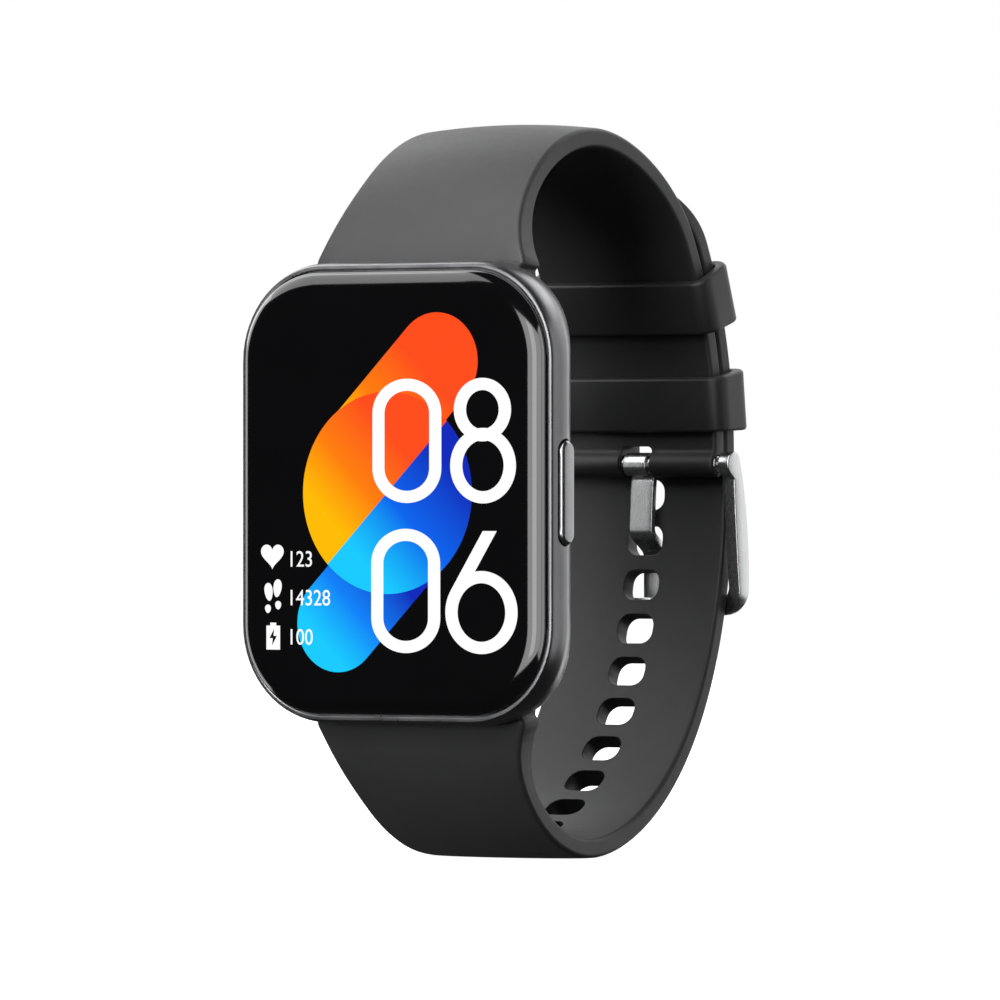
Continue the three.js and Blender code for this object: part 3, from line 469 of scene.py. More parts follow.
def combine(target, helpers, operation):
    """Cuts the helpers out of the target, or adds them to it, and removes them."""
    for helper in helpers:
        step = target.modifiers.new("combine", "BOOLEAN")
        step.operation = operation
        step.solver = "EXACT"
        step.object = helper
    depsgraph = bpy.context.evaluated_depsgraph_get()
    made = bpy.data.meshes.new_from_object(target.evaluated_get(depsgraph))
    made.name = target.name
    target.modifiers.clear()
    spent = [target.data] + [helper.data for helper in helpers]
    target.data = made
    for helper in helpers:
        bpy.data.objects.remove(helper)
    for mesh in spent:
        bpy.data.meshes.remove(mesh)


def put(
    name, shape, finish, body, stands_for=(), cuts=(), adds=(), sharp=32, even=False
):
    """A finished piece: its mesh, holes, shading and finish, riding on a body."""
    points, faces = shape
    made = loose(name, points, faces)
    if adds:
        combine(made, adds, "UNION")
    if cuts:
        combine(made, cuts, "DIFFERENCE")
    smooth(made.data, sharp)
    made.data.materials.clear()
    made.data.materials.append(finish.material)
    if even:
        weights = made.modifiers.new("even_shading", "WEIGHTED_NORMAL")
        weights.keep_sharp = True
        weights.weight = 80
    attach(made, body)
    if stands_for:
        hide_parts(*stands_for)


def rounded_rings(half_x, half_z, radius, y, steps=16, straight=8):
    """Rings of a rounded rectangle in X and Z, one for each entry of the arrays: corner centre
    plus radius times (cos a, sin a), with evenly spaced points along the straight sides."""
    sizes = [np.atleast_1d(np.asarray(value, float)) for value in (half_x, half_z, radius, y)]
    half_x, half_z, radius, y = np.broadcast_arrays(*sizes)
    turn = np.linspace(0, QUARTER, steps + 1)
    arcs = []
    for quarter, (sx, sz) in enumerate([(1, 1), (-1, 1), (-1, -1), (1, -1)]):
        angle = turn + quarter * QUARTER
        x = sx * (half_x - radius)[:, None] + radius[:, None] * np.cos(angle)
        z = sz * (half_z - radius)[:, None] + radius[:, None] * np.sin(angle)
        arcs.append(np.stack([x, z], -1))
    share = np.linspace(0, 1, straight + 1)[1:-1][None, :, None]
    runs = []
    for arc, following in zip(arcs, arcs[1:] + arcs[:1]):
        runs += [arc, arc[:, -1:] + (following[:, :1] - arc[:, -1:]) * share]
    ring = np.concatenate(runs, 1)
    return np.stack([ring[..., 0], np.repeat(y[:, None], ring.shape[1], 1), ring[..., 1]], -1)


def arc_profile(centre, radius, start, end, steps):
    """Points on a circular arc, as (across, along) rows."""
    angle = np.linspace(start, end, steps)
    return np.stack([centre[0] + radius * np.cos(angle), centre[1] + radius * np.sin(angle)], -1)


def turned(profile, axis, centre, sides=48):
    """A turned shape: (radius, distance) rows carried round an axis through a centre."""
    profile = np.asarray(profile, float)
    angle = np.linspace(0, 2 * math.pi, sides, endpoint=False)
    ring_a = profile[:, :1] * np.cos(angle)
    ring_b = profile[:, :1] * np.sin(angle)
    along = np.repeat(profile[:, 1:], sides, 1)
    order = {"x": (along, ring_a, ring_b), "y": (ring_a, along, ring_b)}[axis]
    return skin(np.stack(order, -1) + np.asarray(centre, float))


def rod_profile(radius, start, end, edge=0.08, steps=4):
    """A rod with rounded rims, closed at both ends on its axis."""
    first = arc_profile((radius - edge, start + edge), edge, -QUARTER, 0, steps)
    last = arc_profile((radius - edge, end - edge), edge, 0, QUARTER, steps)
    return np.concatenate([[[ON_AXIS, start]], first, last, [[ON_AXIS, end]]])


# ------------------------------------------------------------------ case


def case_inset(depth, most_and_power):
    """How far the case stands in from its widest line: an ellipse ahead of the belly, a power
    curve behind it."""
    most, power = most_and_power
    ahead = np.clip((BELLY_FRONT - depth) / (BELLY_FRONT - RIM_DEPTH), 0, 1)
    behind = np.clip((depth - BELLY_BACK) / (CASE_BACK - BELLY_BACK), 0, 1)
    return RIM_INSET * (1 - np.sqrt(1 - 0.96 * ahead**2)) + most * behind**power


def case_rings():
    """Rings from the glass pocket over the rim, down the side, across the back and up inside."""
    lip = np.array(
        [[0.75, 1.62], [0.75, 1.5], [0.735, 1.465], [0.7, 1.45], [0.56, 1.45], [0.5, 1.46]]
    )
    rise = 1 - np.cos(np.linspace(0.12, QUARTER, 14))
    behind = np.linspace(0, 1, 20)[1:] ** 1.3
    depth = np.concatenate(
        [
            RIM_DEPTH + (BELLY_FRONT - RIM_DEPTH) * rise,
            [BELLY_BACK],
            BELLY_BACK + (BACK_EDGE - BELLY_BACK) * behind,
        ]
    )
    side = np.stack([case_inset(depth, SIDE_INSET), case_inset(depth, END_INSET), depth], -1)
    last = side[-1]
    share = np.linspace(0, 1, 7)[1:, None]
    control = last + [0.21, 0.21, CASE_BACK - BACK_EDGE]
    end = last + [0.45, 0.45, CASE_BACK - BACK_EDGE]
    turn = (1 - share) ** 2 * last + 2 * share * (1 - share) * control + share**2 * end
    lip = lip[:, [0, 0, 1]]
    side_in, end_in, depth = np.concatenate([lip, side, turn]).T
    outer = np.stack([CASE_X - side_in, CASE_Z - end_in, CASE_CORNER - side_in, depth], -1)
    cover_x, cover_z = CAVITY_X + COVER_LEDGE, CAVITY_Z + COVER_LEDGE
    inner = np.array(
        [
            [cover_x + 0.1, cover_z + 0.1, SEAT_CORNER + 0.1, CASE_BACK],
            [cover_x + 0.03, cover_z + 0.03, SEAT_CORNER + 0.03, CASE_BACK - 0.03],
            [cover_x, cover_z, SEAT_CORNER, CASE_BACK - 0.1],
            [cover_x, cover_z, SEAT_CORNER, SEAT_FLOOR],
            [CAVITY_X, CAVITY_Z, CAVITY_CORNER, SEAT_FLOOR],
            [CAVITY_X, CAVITY_Z, CAVITY_CORNER, PANEL_FLOOR],
            [*PANEL_SHELF, PANEL_FLOOR],
            [*PANEL_SHELF, LEDGE_DEPTH],
            [CASE_X - LEDGE_INSET, CASE_Z - LEDGE_INSET, CASE_CORNER - LEDGE_INSET, LEDGE_DEPTH],
        ]
    )
    rows = np.concatenate([outer, inner])
    return rounded_rings(rows[:, 0], rows[:, 1], rows[:, 2], at(rows[:, 3]))


def end_height(x, y):
    """Height of the case end above a place: the corner circle, drawn in by the side's inset."""
    radius = CASE_CORNER - case_inset(y - FRONT, SIDE_INSET)
    over = np.maximum(np.abs(x) - (CASE_X - CASE_CORNER), 0)
    return CASE_Z - case_inset(y - FRONT, END_INSET) - radius + np.sqrt(radius**2 - over**2)


def flare_steps(edge, steps=6):
    """Depth under a surface and widening at each step of a rounded hole edge."""
    angle = np.linspace(0, QUARTER, steps)
    return edge * (1 - np.sin(angle)), edge * (1 - np.cos(angle))


def pocket_cutter(end):
    """The room for a strap end: a round floor about the spring bar, open to the end and the
    back, with edges that widen along a quarter circle where they meet the outside."""
    edge, corner = 0.22, 0.75
    reach = BARREL + POCKET_GAP
    front = BAR_Y - reach
    back = at(CASE_BACK)
    beneath = edge * (1 - np.cos(np.linspace(0, QUARTER, 6)))
    straight = np.linspace(back - 0.6, front + corner, 9)
    side_y = np.concatenate([[4, back + 0.05], back - beneath, straight])
    turn = np.linspace(0, -QUARTER, 7)[1:]
    turn_x = POCKET_HALF - corner + corner * np.cos(turn)
    turn_y = front + corner + corner * np.sin(turn)
    across = np.linspace(POCKET_HALF - corner, corner - POCKET_HALF, 34)[1:-1]
    flat, ahead = np.ones_like(side_y), np.full_like(across, -1.0)
    x = np.concatenate([POCKET_HALF * flat, turn_x, across, -turn_x[::-1], -POCKET_HALF * flat])
    y = np.concatenate([side_y, turn_y, -front * ahead, turn_y[::-1], side_y[::-1]])
    out_x = np.concatenate([flat, np.cos(turn), 0 * across, -np.cos(turn[::-1]), -flat])
    out_y = np.concatenate([0 * flat, np.sin(turn), ahead, np.sin(turn[::-1]), 0 * flat])
    under = np.clip(back - y, 0, edge)
    open_back = edge - np.sqrt(edge**2 - (edge - under) ** 2)
    x = x + np.sign(x) * open_back
    levels = []
    outside = end_height(x, y) - edge
    for angle in np.linspace(0, QUARTER, 9):
        floor = np.full_like(x, BAR_Z - reach * math.cos(angle))
        floor = np.minimum(floor, outside - 0.03 - 0.03 * (QUARTER - angle))
        if angle == 0:
            floor = floor - open_back
        levels.append(np.stack([x, np.maximum(y, BAR_Y - reach * math.sin(angle)), floor], -1))
    for below, wider in zip(*flare_steps(edge)):
        wide_x, wide_y = x + out_x * wider, y + out_y * wider
        levels.append(np.stack([wide_x, wide_y, end_height(wide_x, wide_y) - below], -1))
    levels.append(levels[-1] + [0, 0, 1.5])
    rings = np.array(levels) * [1, 1, end]
    return loose("pocket_cutter", *skin(rings))


def stadium(half_width, half_length, steps=14, straight=10):
    """A stadium, two half circles joined by straight sides, as (across, along) points with
    their outward directions."""
    straight_half = half_length - half_width
    turn = np.linspace(0, math.pi, steps + 1)
    run = np.linspace(1, -1, straight + 1)[1:-1]
    ends = np.stack([np.cos(turn), np.sin(turn)], -1)
    sides = np.stack([-np.ones_like(run), 0 * run], -1)
    out = np.concatenate([ends, sides, -ends, -sides])
    shift = np.concatenate([np.ones(steps + 1), run, -np.ones(steps + 1), -run]) * straight_half
    points = out * half_width
    points[:, 1] = out[:, 1] * half_width + shift
    points[steps + 1 : steps + straight, 1] = run * straight_half
    points[-(straight - 1) :, 1] = -run * straight_half
    return points, out


BUTTON_Y = at(BUTTON_DEPTH)


def slot_cutter():
    """The button's slot: a stadium with an edge that widens where it meets the case side."""
    edge = 0.1
    points, out = stadium(BUTTON_HALF + SLOT_GAP, BUTTON_LENGTH_HALF + SLOT_GAP)
    floor = BUTTON_FACE - SLOT_DEPTH
    rings = [np.stack([np.full(len(points), floor), points[:, 0] + BUTTON_Y, points[:, 1]], -1)]
    for below, wider in zip(*flare_steps(edge)):
        grown = points + out * wider
        y = grown[:, 0] + BUTTON_Y
        x = CASE_X - case_inset(y - FRONT, SIDE_INSET) - below
        rings.append(np.stack([x, y, grown[:, 1]], -1))
    rings.append(rings[-1] + [1, 0, 0])
    return loose("slot_cutter", *skin(np.array(rings)))


def drill(radius, start, end, y, z, sides=48):
    """A plain cylinder along X, to be cut out of something."""
    profile = [[ON_AXIS, start], [radius, start], [radius, end], [ON_AXIS, end]]
    return loose("drill", *turned(profile, "x", (0, y, z), sides))


def case_cutters():
    """The bores for the spring bars' tips and the button's stem, the pockets and the slot."""
    corners = [(side, end) for side in (-1, 1) for end in (-1, 1)]
    bores = [
        drill(0.44, side * 10.6, side * 12.8, BAR_Y, end * BAR_Z, 24) for side, end in corners
    ]
    bores.append(drill(STEM_RADIUS + 0.1, 13.6, 17, at(STEM_DEPTH), 0, 24))
    return [pocket_cutter(1), pocket_cutter(-1), slot_cutter(), *bores]


put(
    "case_shell",
    skin(case_rings(), joined=True),
    case_finish,
    "watch",
    ["case_body"],
    cuts=case_cutters(),
    even=True,
)


# ------------------------------------------------------------------ cover glass and display


def glass_rings():
    """The back of the glass, its side, the curved edge as a quarter ellipse, and the flat."""
    foot = np.array([[0.4, 0], [0.08, 0], [0.02, -0.02], [0, -0.08]]) + [0, GLASS_THICK]
    angle = np.linspace(QUARTER, 0, 22)
    curve = np.stack([GLASS_MARGIN * (1 - np.sin(angle)), GLASS_DROP * (1 - np.cos(angle))], -1)
    flat = np.array([[GLASS_MARGIN + 0.25, 0], [GLASS_MARGIN + 1.2, 0], [GLASS_MARGIN + 4, 0]])
    inset, depth = np.concatenate([foot, curve, flat]).T
    radius = GLASS_CORNER - inset
    return rounded_rings(glass_high[0] - inset, glass_high[2] - inset, radius, at(depth), 24, 10)


put(
    "front_glass",
    skin(glass_rings()),
    glass_finish,
    "watch",
    ["cover_glass"],
    even=True,
)

PICTURE = FRONT - 0.012  # Y of the picture's front; each layer stands a little further out
LAYER = 0.006


def slab(outline, layer):
    """A thin plate in the display plane from a closed outline of (x, z) points."""
    outline = np.asarray(outline, float)
    front = PICTURE - layer * LAYER
    rings = [np.insert(outline, 1, y, axis=1) for y in (front + 0.011, front)]
    return skin(np.array(rings))


def merged(*shapes):
    """Several shapes as one list of points and faces."""
    points, faces, start = [], [], 0
    for shape_points, shape_faces in shapes:
        points.append(shape_points)
        faces += [[index + start for index in face] for face in shape_faces]
        start += len(shape_points)
    return np.concatenate(points), faces


DISC = 9.5
BEAM_HALF = 4.6
BEAM_LONG = 12.6  # from the disc's middle to the middle of a beam's round end
DIAGONAL = 0.25 * math.pi


def half_disc(side):
    """Half of a disc on one side of the rising diagonal."""
    angle = np.linspace(0, math.pi, 96) + DIAGONAL + (0 if side > 0 else math.pi)
    return np.stack([DISC * np.cos(angle), DISC * np.sin(angle)], -1)


def beam(side):
    """A round-ended beam beside the diagonal, from the disc's rim out to its cap."""
    along = np.array([math.cos(DIAGONAL), math.sin(DIAGONAL)]) * side
    across = np.array([-along[1], along[0]])
    turn = np.linspace(-QUARTER, QUARTER, 40)[:, None]
    middle = across * (BEAM_HALF + 0.15)
    cap = along * (BEAM_LONG + BEAM_HALF * np.cos(turn))
    cap = cap + middle + across * BEAM_HALF * np.sin(turn)
    lean = np.linspace(BEAM_HALF * 2 + 0.15, 0.15, 30)[:, None]
    root = along * np.sqrt(np.maximum((DISC - 0.02) ** 2 - lean**2, 0.0)) + across * lean
    return np.concatenate([cap, root])


def light(name, shape, finish, adds=()):
    """A piece of the lit picture."""
    put(name, shape, finish, "watch", adds=adds, sharp=20)


RED, ORANGE, YELLOW = (1.0, 0.075, 0.012), (1.0, 0.21, 0.004), (1.0, 0.5, 0.001)
NAVY, BLUE, SKY = (0.006, 0.024, 0.5), (0.004, 0.13, 0.85), (0.01, 0.6, 1.0)
warm_disc = lit("disc_warm", (0.1, YELLOW), (0.42, ORANGE), (0.8, RED), low=-11, high=10)
cool_disc = lit("disc_cool", (0.08, SKY), (0.45, BLUE), (0.85, NAVY), low=-11, high=13)
warm_beam = lit("beam_warm", (0.0, YELLOW), (0.3, ORANGE), (0.75, RED), low=2, high=20)
cool_beam = lit("beam_cool", (0.1, SKY), (0.5, (0.006, 0.22, 0.95)), (0.95, NAVY), low=-23, high=-6)
white_light = Finish("numerals_white", (0, 0, 0), 0.06, Emission_Strength=1.0)
white_light.put("Emission Color", (1, 1, 1, 1))

light("picture_disc_warm", slab(half_disc(1), 1), warm_disc)
light("picture_disc_cool", slab(half_disc(-1), 1), cool_disc)
light("picture_beam_warm", slab(beam(1), 1), warm_beam)
light("picture_beam_cool", slab(beam(-1), 1), cool_beam)

WIDEN = 1.19  # the numerals are drawn narrow, then widened
STROKE = 1.14


def band(centre, across, middle, closed=True):
    """A flat band of even width along (x, z) points, widened and moved to its place."""
    front = PICTURE - 3 * LAYER
    corners = []
    for side, y in ((1, front), (1, front + 0.02), (-1, front + 0.02), (-1, front)):
        edge = (centre + across * side * STROKE / 2) * [WIDEN, 1] + middle
        corners.append(np.stack([edge[:, 0], np.full(len(edge), y), edge[:, 1]], -1))
    return skin(np.stack(corners, 1), joined=closed)


def oval(half_x, half_z, middle):
    """An oval band; across is the ellipse's normal."""
    angle = np.linspace(0, 2 * math.pi, 96, endpoint=False)
    centre = np.stack([half_x * np.cos(angle), half_z * np.sin(angle)], -1)
    normal = np.stack([np.cos(angle) / half_x, np.sin(angle) / half_z], -1)
    return band(centre, normal / np.linalg.norm(normal, axis=1, keepdims=True), middle)


def zero(middle):
    """A stadium band."""
    points, out = stadium(2.68, 5.25, 40, 6)
    return band(points, out, middle)


SIX = np.array([10.57, -11.15])
SIX_X, SIX_Z = 2.8, 3.3
SIX_TOP = np.array([0.78, 7.59])


def six_stem():
    """The straight stroke of the six, tangent to its bowl and cut level at the top."""
    reach = np.array([SIX_TOP[0] / SIX_X, SIX_TOP[1] / SIX_Z])
    angle = math.atan2(reach[1], reach[0]) + math.acos(1 / np.linalg.norm(reach))
    touch = np.array([SIX_X * math.cos(angle), SIX_Z * math.sin(angle)])
    along = (SIX_TOP - touch) / np.linalg.norm(SIX_TOP - touch)
    normal = np.array([along[1], -along[0]])
    level = np.array([1 / normal[0], 0])
    return band(np.array([touch, SIX_TOP]), np.array([normal, level]), SIX, closed=False)


light("numeral_hour_tens", zero(np.array([2.24, 4.87])), white_light)
light("numeral_minute_tens", zero(np.array([2.11, -9.18])), white_light)
upper_oval = loose("upper_oval", *oval(2.1, 2.39, np.array([10.68, 7.75])))
light(
    "numeral_hour_units", oval(2.5, 2.95, np.array([10.75, 2.53])), white_light, [upper_oval]
)
stroke = loose("six_stem", *six_stem())
light("numeral_minute_units", oval(SIX_X, SIX_Z, SIX), white_light, [stroke])


def heart(middle, size):
    """A heart: x = 16 sin^3 t, z = 13 cos t - 5 cos 2t - 2 cos 3t - cos 4t, scaled."""
    t = np.linspace(0, 2 * math.pi, 48, endpoint=False)
    x = 16 * np.sin(t) ** 3
    z = 13 * np.cos(t) - 5 * np.cos(2 * t) - 2 * np.cos(3 * t) - np.cos(4 * t)
    return slab(np.stack([x, z], -1) * size / 32 + middle, 2)


def egg(middle, half_x, half_z, lean=0.0):
    """An ellipse that is wider towards its top, turned by lean."""
    angle = np.linspace(0, 2 * math.pi, 32, endpoint=False)
    x = half_x * np.cos(angle) * (1 + 0.18 * np.sin(angle))
    z = half_z * np.sin(angle)
    turned_x = x * math.cos(lean) - z * math.sin(lean)
    turned_z = x * math.sin(lean) + z * math.cos(lean)
    return slab(np.stack([turned_x, turned_z], -1) + middle, 2)


def battery_mark(middle):
    """An upright battery with its cap, as one outline."""
    half, cap, top, step = 0.78, 0.34, 1.02, 0.28
    right = [(half, -1.25), (half, top), (cap, top), (cap, top + step)]
    left = [(-x, z) for x, z in right[::-1]]
    return slab(np.array(left[-1:] + right + left[:-1]) + middle, 2)


def bolt_mark(middle):
    """The dark bolt in front of the battery."""
    outline = [(0.1, 0.75), (-0.42, -0.12), (-0.04, -0.12), (-0.12, -0.8), (0.42, 0.1), (0.04, 0.1)]
    return slab(np.array(outline) + middle, 4)


def count(digits, left, foot, height):
    """A small number in the display plane, its left foot at a place."""
    text = bpy.data.curves.new("count", "FONT")
    text.body = digits
    text.size = height / 0.729
    text.extrude = 0.006
    text.resolution_u = 6
    holder = bpy.data.objects.new("count", text)
    bpy.context.scene.collection.objects.link(holder)
    depsgraph = bpy.context.evaluated_depsgraph_get()
    flat = bpy.data.meshes.new_from_object(holder.evaluated_get(depsgraph))
    points = np.empty(len(flat.vertices) * 3)
    flat.vertices.foreach_get("co", points)
    points = points.reshape(-1, 3)
    faces = [list(face.vertices) for face in flat.polygons]
    bpy.data.objects.remove(holder)
    bpy.data.curves.remove(text)
    bpy.data.meshes.remove(flat)
    x = (points[:, 0] - points[:, 0].min()) * 0.93 + left
    y = PICTURE - 3 * LAYER - points[:, 2]
    return np.stack([x, y, points[:, 1] + foot], -1), faces


marks = merged(
    heart(np.array([-13.0, -5.85]), 2.6),
    egg(np.array([-13.42, -9.35]), 0.46, 0.85, 0.12),
    egg(np.array([-13.5, -10.95]), 0.33, 0.4),
    egg(np.array([-12.42, -9.0]), 0.46, 0.85, -0.12),
    egg(np.array([-12.34, -10.6]), 0.33, 0.4),
    battery_mark(np.array([-12.9, -13.55])),
)
light("status_marks", marks, white_light)
light("status_bolt", bolt_mark(np.array([-12.9, -13.6])), glass_finish)
numbers = (("123", -6.95), ("14328", -10.6), ("100", -14.3))
counts = merged(*(count(digits, -10.9, foot, 1.55) for digits, foot in numbers))
light("status_counts", counts, white_light)


# ------------------------------------------------------------------ side button


def button_rings():
    """Rings of the button cap: straight side, a bevel with soft edges and a crowned face."""
    side = [(0.05, -1.15), (0, -1.1), (0, -0.3), (0.012, -0.25), (0.045, -0.2)]
    bevel = [(0.2, -0.055), (0.245, -0.025), (0.3, -0.008)]
    face = [(0.42, 0), (0.7, 0.01), (0.95, 0.014)]
    points, out = stadium(BUTTON_HALF, BUTTON_LENGTH_HALF, 20, 12)
    rings = []
    for inset, rise in side + bevel + face:
        inner = points - out * inset
        x = np.full(len(points), BUTTON_FACE + rise)
        rings.append(np.stack([x, inner[:, 0] + BUTTON_Y, inner[:, 1]], -1))
    return np.array(rings)


put(
    "button_cap",
    skin(button_rings()),
    button_finish,
    "button",
    ["side_button"],
    sharp=50,
    even=True,
)
stem_start, stem_end, stem_edge = button_low[0], BUTTON_FACE - 1.16, 0.05
stem_profile = [
    [ON_AXIS, stem_start],
    [STEM_RADIUS - stem_edge, stem_start],
    [STEM_RADIUS, stem_start + stem_edge],
    [STEM_RADIUS, stem_end],
    [ON_AXIS, stem_end],
]
stem = turned(stem_profile, "x", (0, at(STEM_DEPTH), 0), 32)
put("button_stem", stem, button_finish, "button")


# ------------------------------------------------------------------ back of the case


def cover_rings():
    """The back cover: a rounded plate whose face rises into a round dome with a seat for the
    sensor window. Each dome row is a circle drawn with the plate's own count of points."""
    x, z = cover_high[0], cover_high[2]
    under = np.array([[0.3, 0], [0.03, 0], [0, 0.05]]) + [0, COVER_DEPTH]
    rim = np.array([[0, -0.22], [0.02, -0.13], [0.07, -0.06], [0.14, -0.015], [0.22, 0], [0.6, 0]])
    inset, depth = np.concatenate([under, rim + [0, COVER_FACE]]).T
    outer = rounded_rings(x - inset, z - inset, COVER_CORNER - inset, at(depth))
    share = np.linspace(0, 1, 12)[:, None]
    foot = DOME_FOOT + 0.25
    slope = share * share * (3 - 2 * share)
    rise = np.concatenate([foot + (DOME_TOP - foot) * share, COVER_FACE + DOME_HEIGHT * slope], -1)
    top = COVER_FACE + DOME_HEIGHT
    seat = [
        [WINDOW_RADIUS + 0.16, top],
        [WINDOW_RADIUS + 0.08, top],
        [WINDOW_RADIUS + 0.06, top - 0.08],
        [WINDOW_RADIUS + 0.06, WINDOW_SEAT],
        [WINDOW_OPENING, WINDOW_SEAT],
        [WINDOW_OPENING, COVER_DEPTH],
    ]
    rows = np.concatenate([rise, seat])
    angle = np.arctan2(outer[-1, :, 2], outer[-1, :, 0])
    radius, depth = rows[:, :1], rows[:, 1:]
    y = np.repeat(at(depth), len(angle), 1)
    dome = np.stack([radius * np.cos(angle), y, radius * np.sin(angle)], -1)
    return np.concatenate([outer, dome])


PAD_X = 2.8
PAD_Z = -14.175
PAD_RADIUS = 1.1
SCREW_X = 11.05
SCREW_Z = 14.05
SCREW_HEAD = 0.95
HEAD_DEPTH = 0.45
SEAT_GAP = 0.06


def round_cutter(radius, x, z, floor_depth, edge=0.08):
    """A round hole in the cover's face with a rounded rim."""
    below, wider = flare_steps(edge)
    rim = np.stack([radius + wider, at(COVER_FACE) - below], -1)
    floor = [[ON_AXIS, at(floor_depth)], [radius, at(floor_depth)]]
    profile = np.concatenate([floor, rim, [[radius + edge, 1.0], [ON_AXIS, 1.0]]])
    return loose("round_cutter", *turned(profile, "y", (x, 0, z), 40))


screw_places = [(SCREW_X, SCREW_Z), (-SCREW_X, SCREW_Z), (-SCREW_X, -SCREW_Z), (SCREW_X, -SCREW_Z)]
cover_cutters = [
    round_cutter(PAD_RADIUS + SEAT_GAP, side * PAD_X, PAD_Z, COVER_DEPTH - 0.5)
    for side in (-1, 1)
]
cover_cutters += [
    round_cutter(SCREW_HEAD + SEAT_GAP, x, z, COVER_FACE - HEAD_DEPTH) for x, z in screw_places
]
put(
    "cover_plate",
    skin(cover_rings(), joined=True),
    cover_finish,
    "watch",
    ["back_cover"],
    cuts=cover_cutters,
    even=True,
)

window_curve = np.linspace(0, QUARTER, 16)
shallow, face_rise = WINDOW_RADIUS - WINDOW_FLAT, WINDOW_FACE - WINDOW_EDGE
back_edge = [
    [ON_AXIS, WINDOW_BACK],
    [WINDOW_RADIUS - 0.05, WINDOW_BACK],
    [WINDOW_RADIUS, WINDOW_BACK + 0.05],
]
across = WINDOW_FLAT + shallow * np.cos(window_curve)
along = WINDOW_EDGE + face_rise * np.sin(window_curve)
face = [[5.8, WINDOW_FACE], [3, WINDOW_FACE], [ON_AXIS, WINDOW_FACE]]
window_profile = np.concatenate([back_edge, np.stack([across, along], -1), face]) + [0, FRONT]
put(
    "window_lens",
    turned(window_profile, "y", (0, 0, 0), 128),
    window_finish,
    "watch",
    ["sensor_window"],
    even=True,
)


def screw_piece(index, x, z):
    """A flush screw with a softly domed head and a cross recess."""
    top = at(COVER_FACE) - 0.03
    under = top - HEAD_DEPTH + 0.05
    dome = np.linspace(0, QUARTER, 7)
    head = np.stack([SCREW_HEAD - 0.12 + 0.12 * np.cos(dome), top - 0.1 + 0.08 * np.sin(dome)], -1)
    tip = under - 2.6
    shank = [[ON_AXIS, tip], [0.4, tip], [0.5, tip + 0.1], [0.5, under], [SCREW_HEAD, under]]
    profile = np.concatenate([shank, head, [[0.4, top], [ON_AXIS, top]]])
    bars = []
    for half_x, half_z in ((0.55, 0.12), (0.12, 0.55)):
        rings = rounded_rings(half_x, half_z, 0.06, [top - 0.22, top + 0.5], 4, 2) + [x, 0, z]
        bars.append(loose("recess", *skin(rings)))
    put(
        f"cover_screw_{index}",
        turned(profile, "y", (x, 0, z), 40),
        screw_finish,
        "watch",
        [f"back_screw_{index}"],
        cuts=bars,
    )


for index, (x, z) in enumerate(screw_places, 1):
    screw_piece(index, x, z)

for name, side in (("left", -1), ("right", 1)):
    top = at(COVER_FACE) + 0.08
    profile = rod_profile(PAD_RADIUS, at(COVER_DEPTH), top, 0.06)
    put(
        f"contact_{name}",
        turned(profile, "y", (side * PAD_X, 0, PAD_Z), 48),
        gold_finish,
        "watch",
        [f"charge_pad_{name}"],
    )


# ------------------------------------------------------------------ strap lines


class Line:
    """A line in the YZ plane: dense points, their distances and directions. side is +1 where
    the wrist lies to the right of the direction of travel."""

    def __init__(self, points, side):
        step = np.diff(points, axis=0)
        keep = np.concatenate([[True], np.linalg.norm(step, axis=1) > 1e-6])
        self.points = points[keep]
        run = np.linalg.norm(np.diff(self.points, axis=0), axis=1)
        self.distance = np.concatenate([[0], np.cumsum(run)])
        self.length = self.distance[-1]
        along = np.gradient(self.points, self.distance, axis=0)
        self.along = along / np.linalg.norm(along, axis=1, keepdims=True)
        self.side = side

    def read(self, s):
        """Place and way to the wrist at distances; the line goes straight on past its ends."""
        held = np.clip(s, 0, self.length)
        place = np.stack([np.interp(held, self.distance, self.points[:, k]) for k in (0, 1)], -1)
        along = np.stack([np.interp(held, self.distance, self.along[:, k]) for k in (0, 1)], -1)
        along = along / np.linalg.norm(along, axis=-1, keepdims=True)
        place = place + along * (s - held)[..., None]
        inward = np.stack([along[..., 1], -along[..., 0]], -1) * self.side
        return place, inward

    def locate(self, x, s, v):
        """Points at x across, s along and v towards the wrist."""
        place, inward = self.read(s)
        lifted = place + inward * v[..., None]
        return np.concatenate([x[..., None], lifted], -1)

    def distance_at(self, height):
        """Distance where the line rises through a height, searched over its second half."""
        chosen = self.distance > 0.5 * self.length
        return float(np.interp(height, self.points[chosen, 1], self.distance[chosen]))


LINE_POINTS = 500


def bezier(start, leave, pull, end, arrive, end_pull):
    """A cubic curve that leaves and arrives along given directions."""
    a, d = np.array(start, float), np.array(end, float)
    b, c = a + np.array(leave) * pull, d - np.array(arrive) * end_pull
    t = np.linspace(0, 1, LINE_POINTS)[:, None]
    return (1 - t) ** 3 * a + 3 * (1 - t) ** 2 * t * b + 3 * (1 - t) * t**2 * c + t**3 * d


def back_arc(radius, start, end):
    """The arc about the keepers' centre that both straps share at the back of the loop."""
    return arc_profile(ARC_CENTRE, radius, start, end, LINE_POINTS)


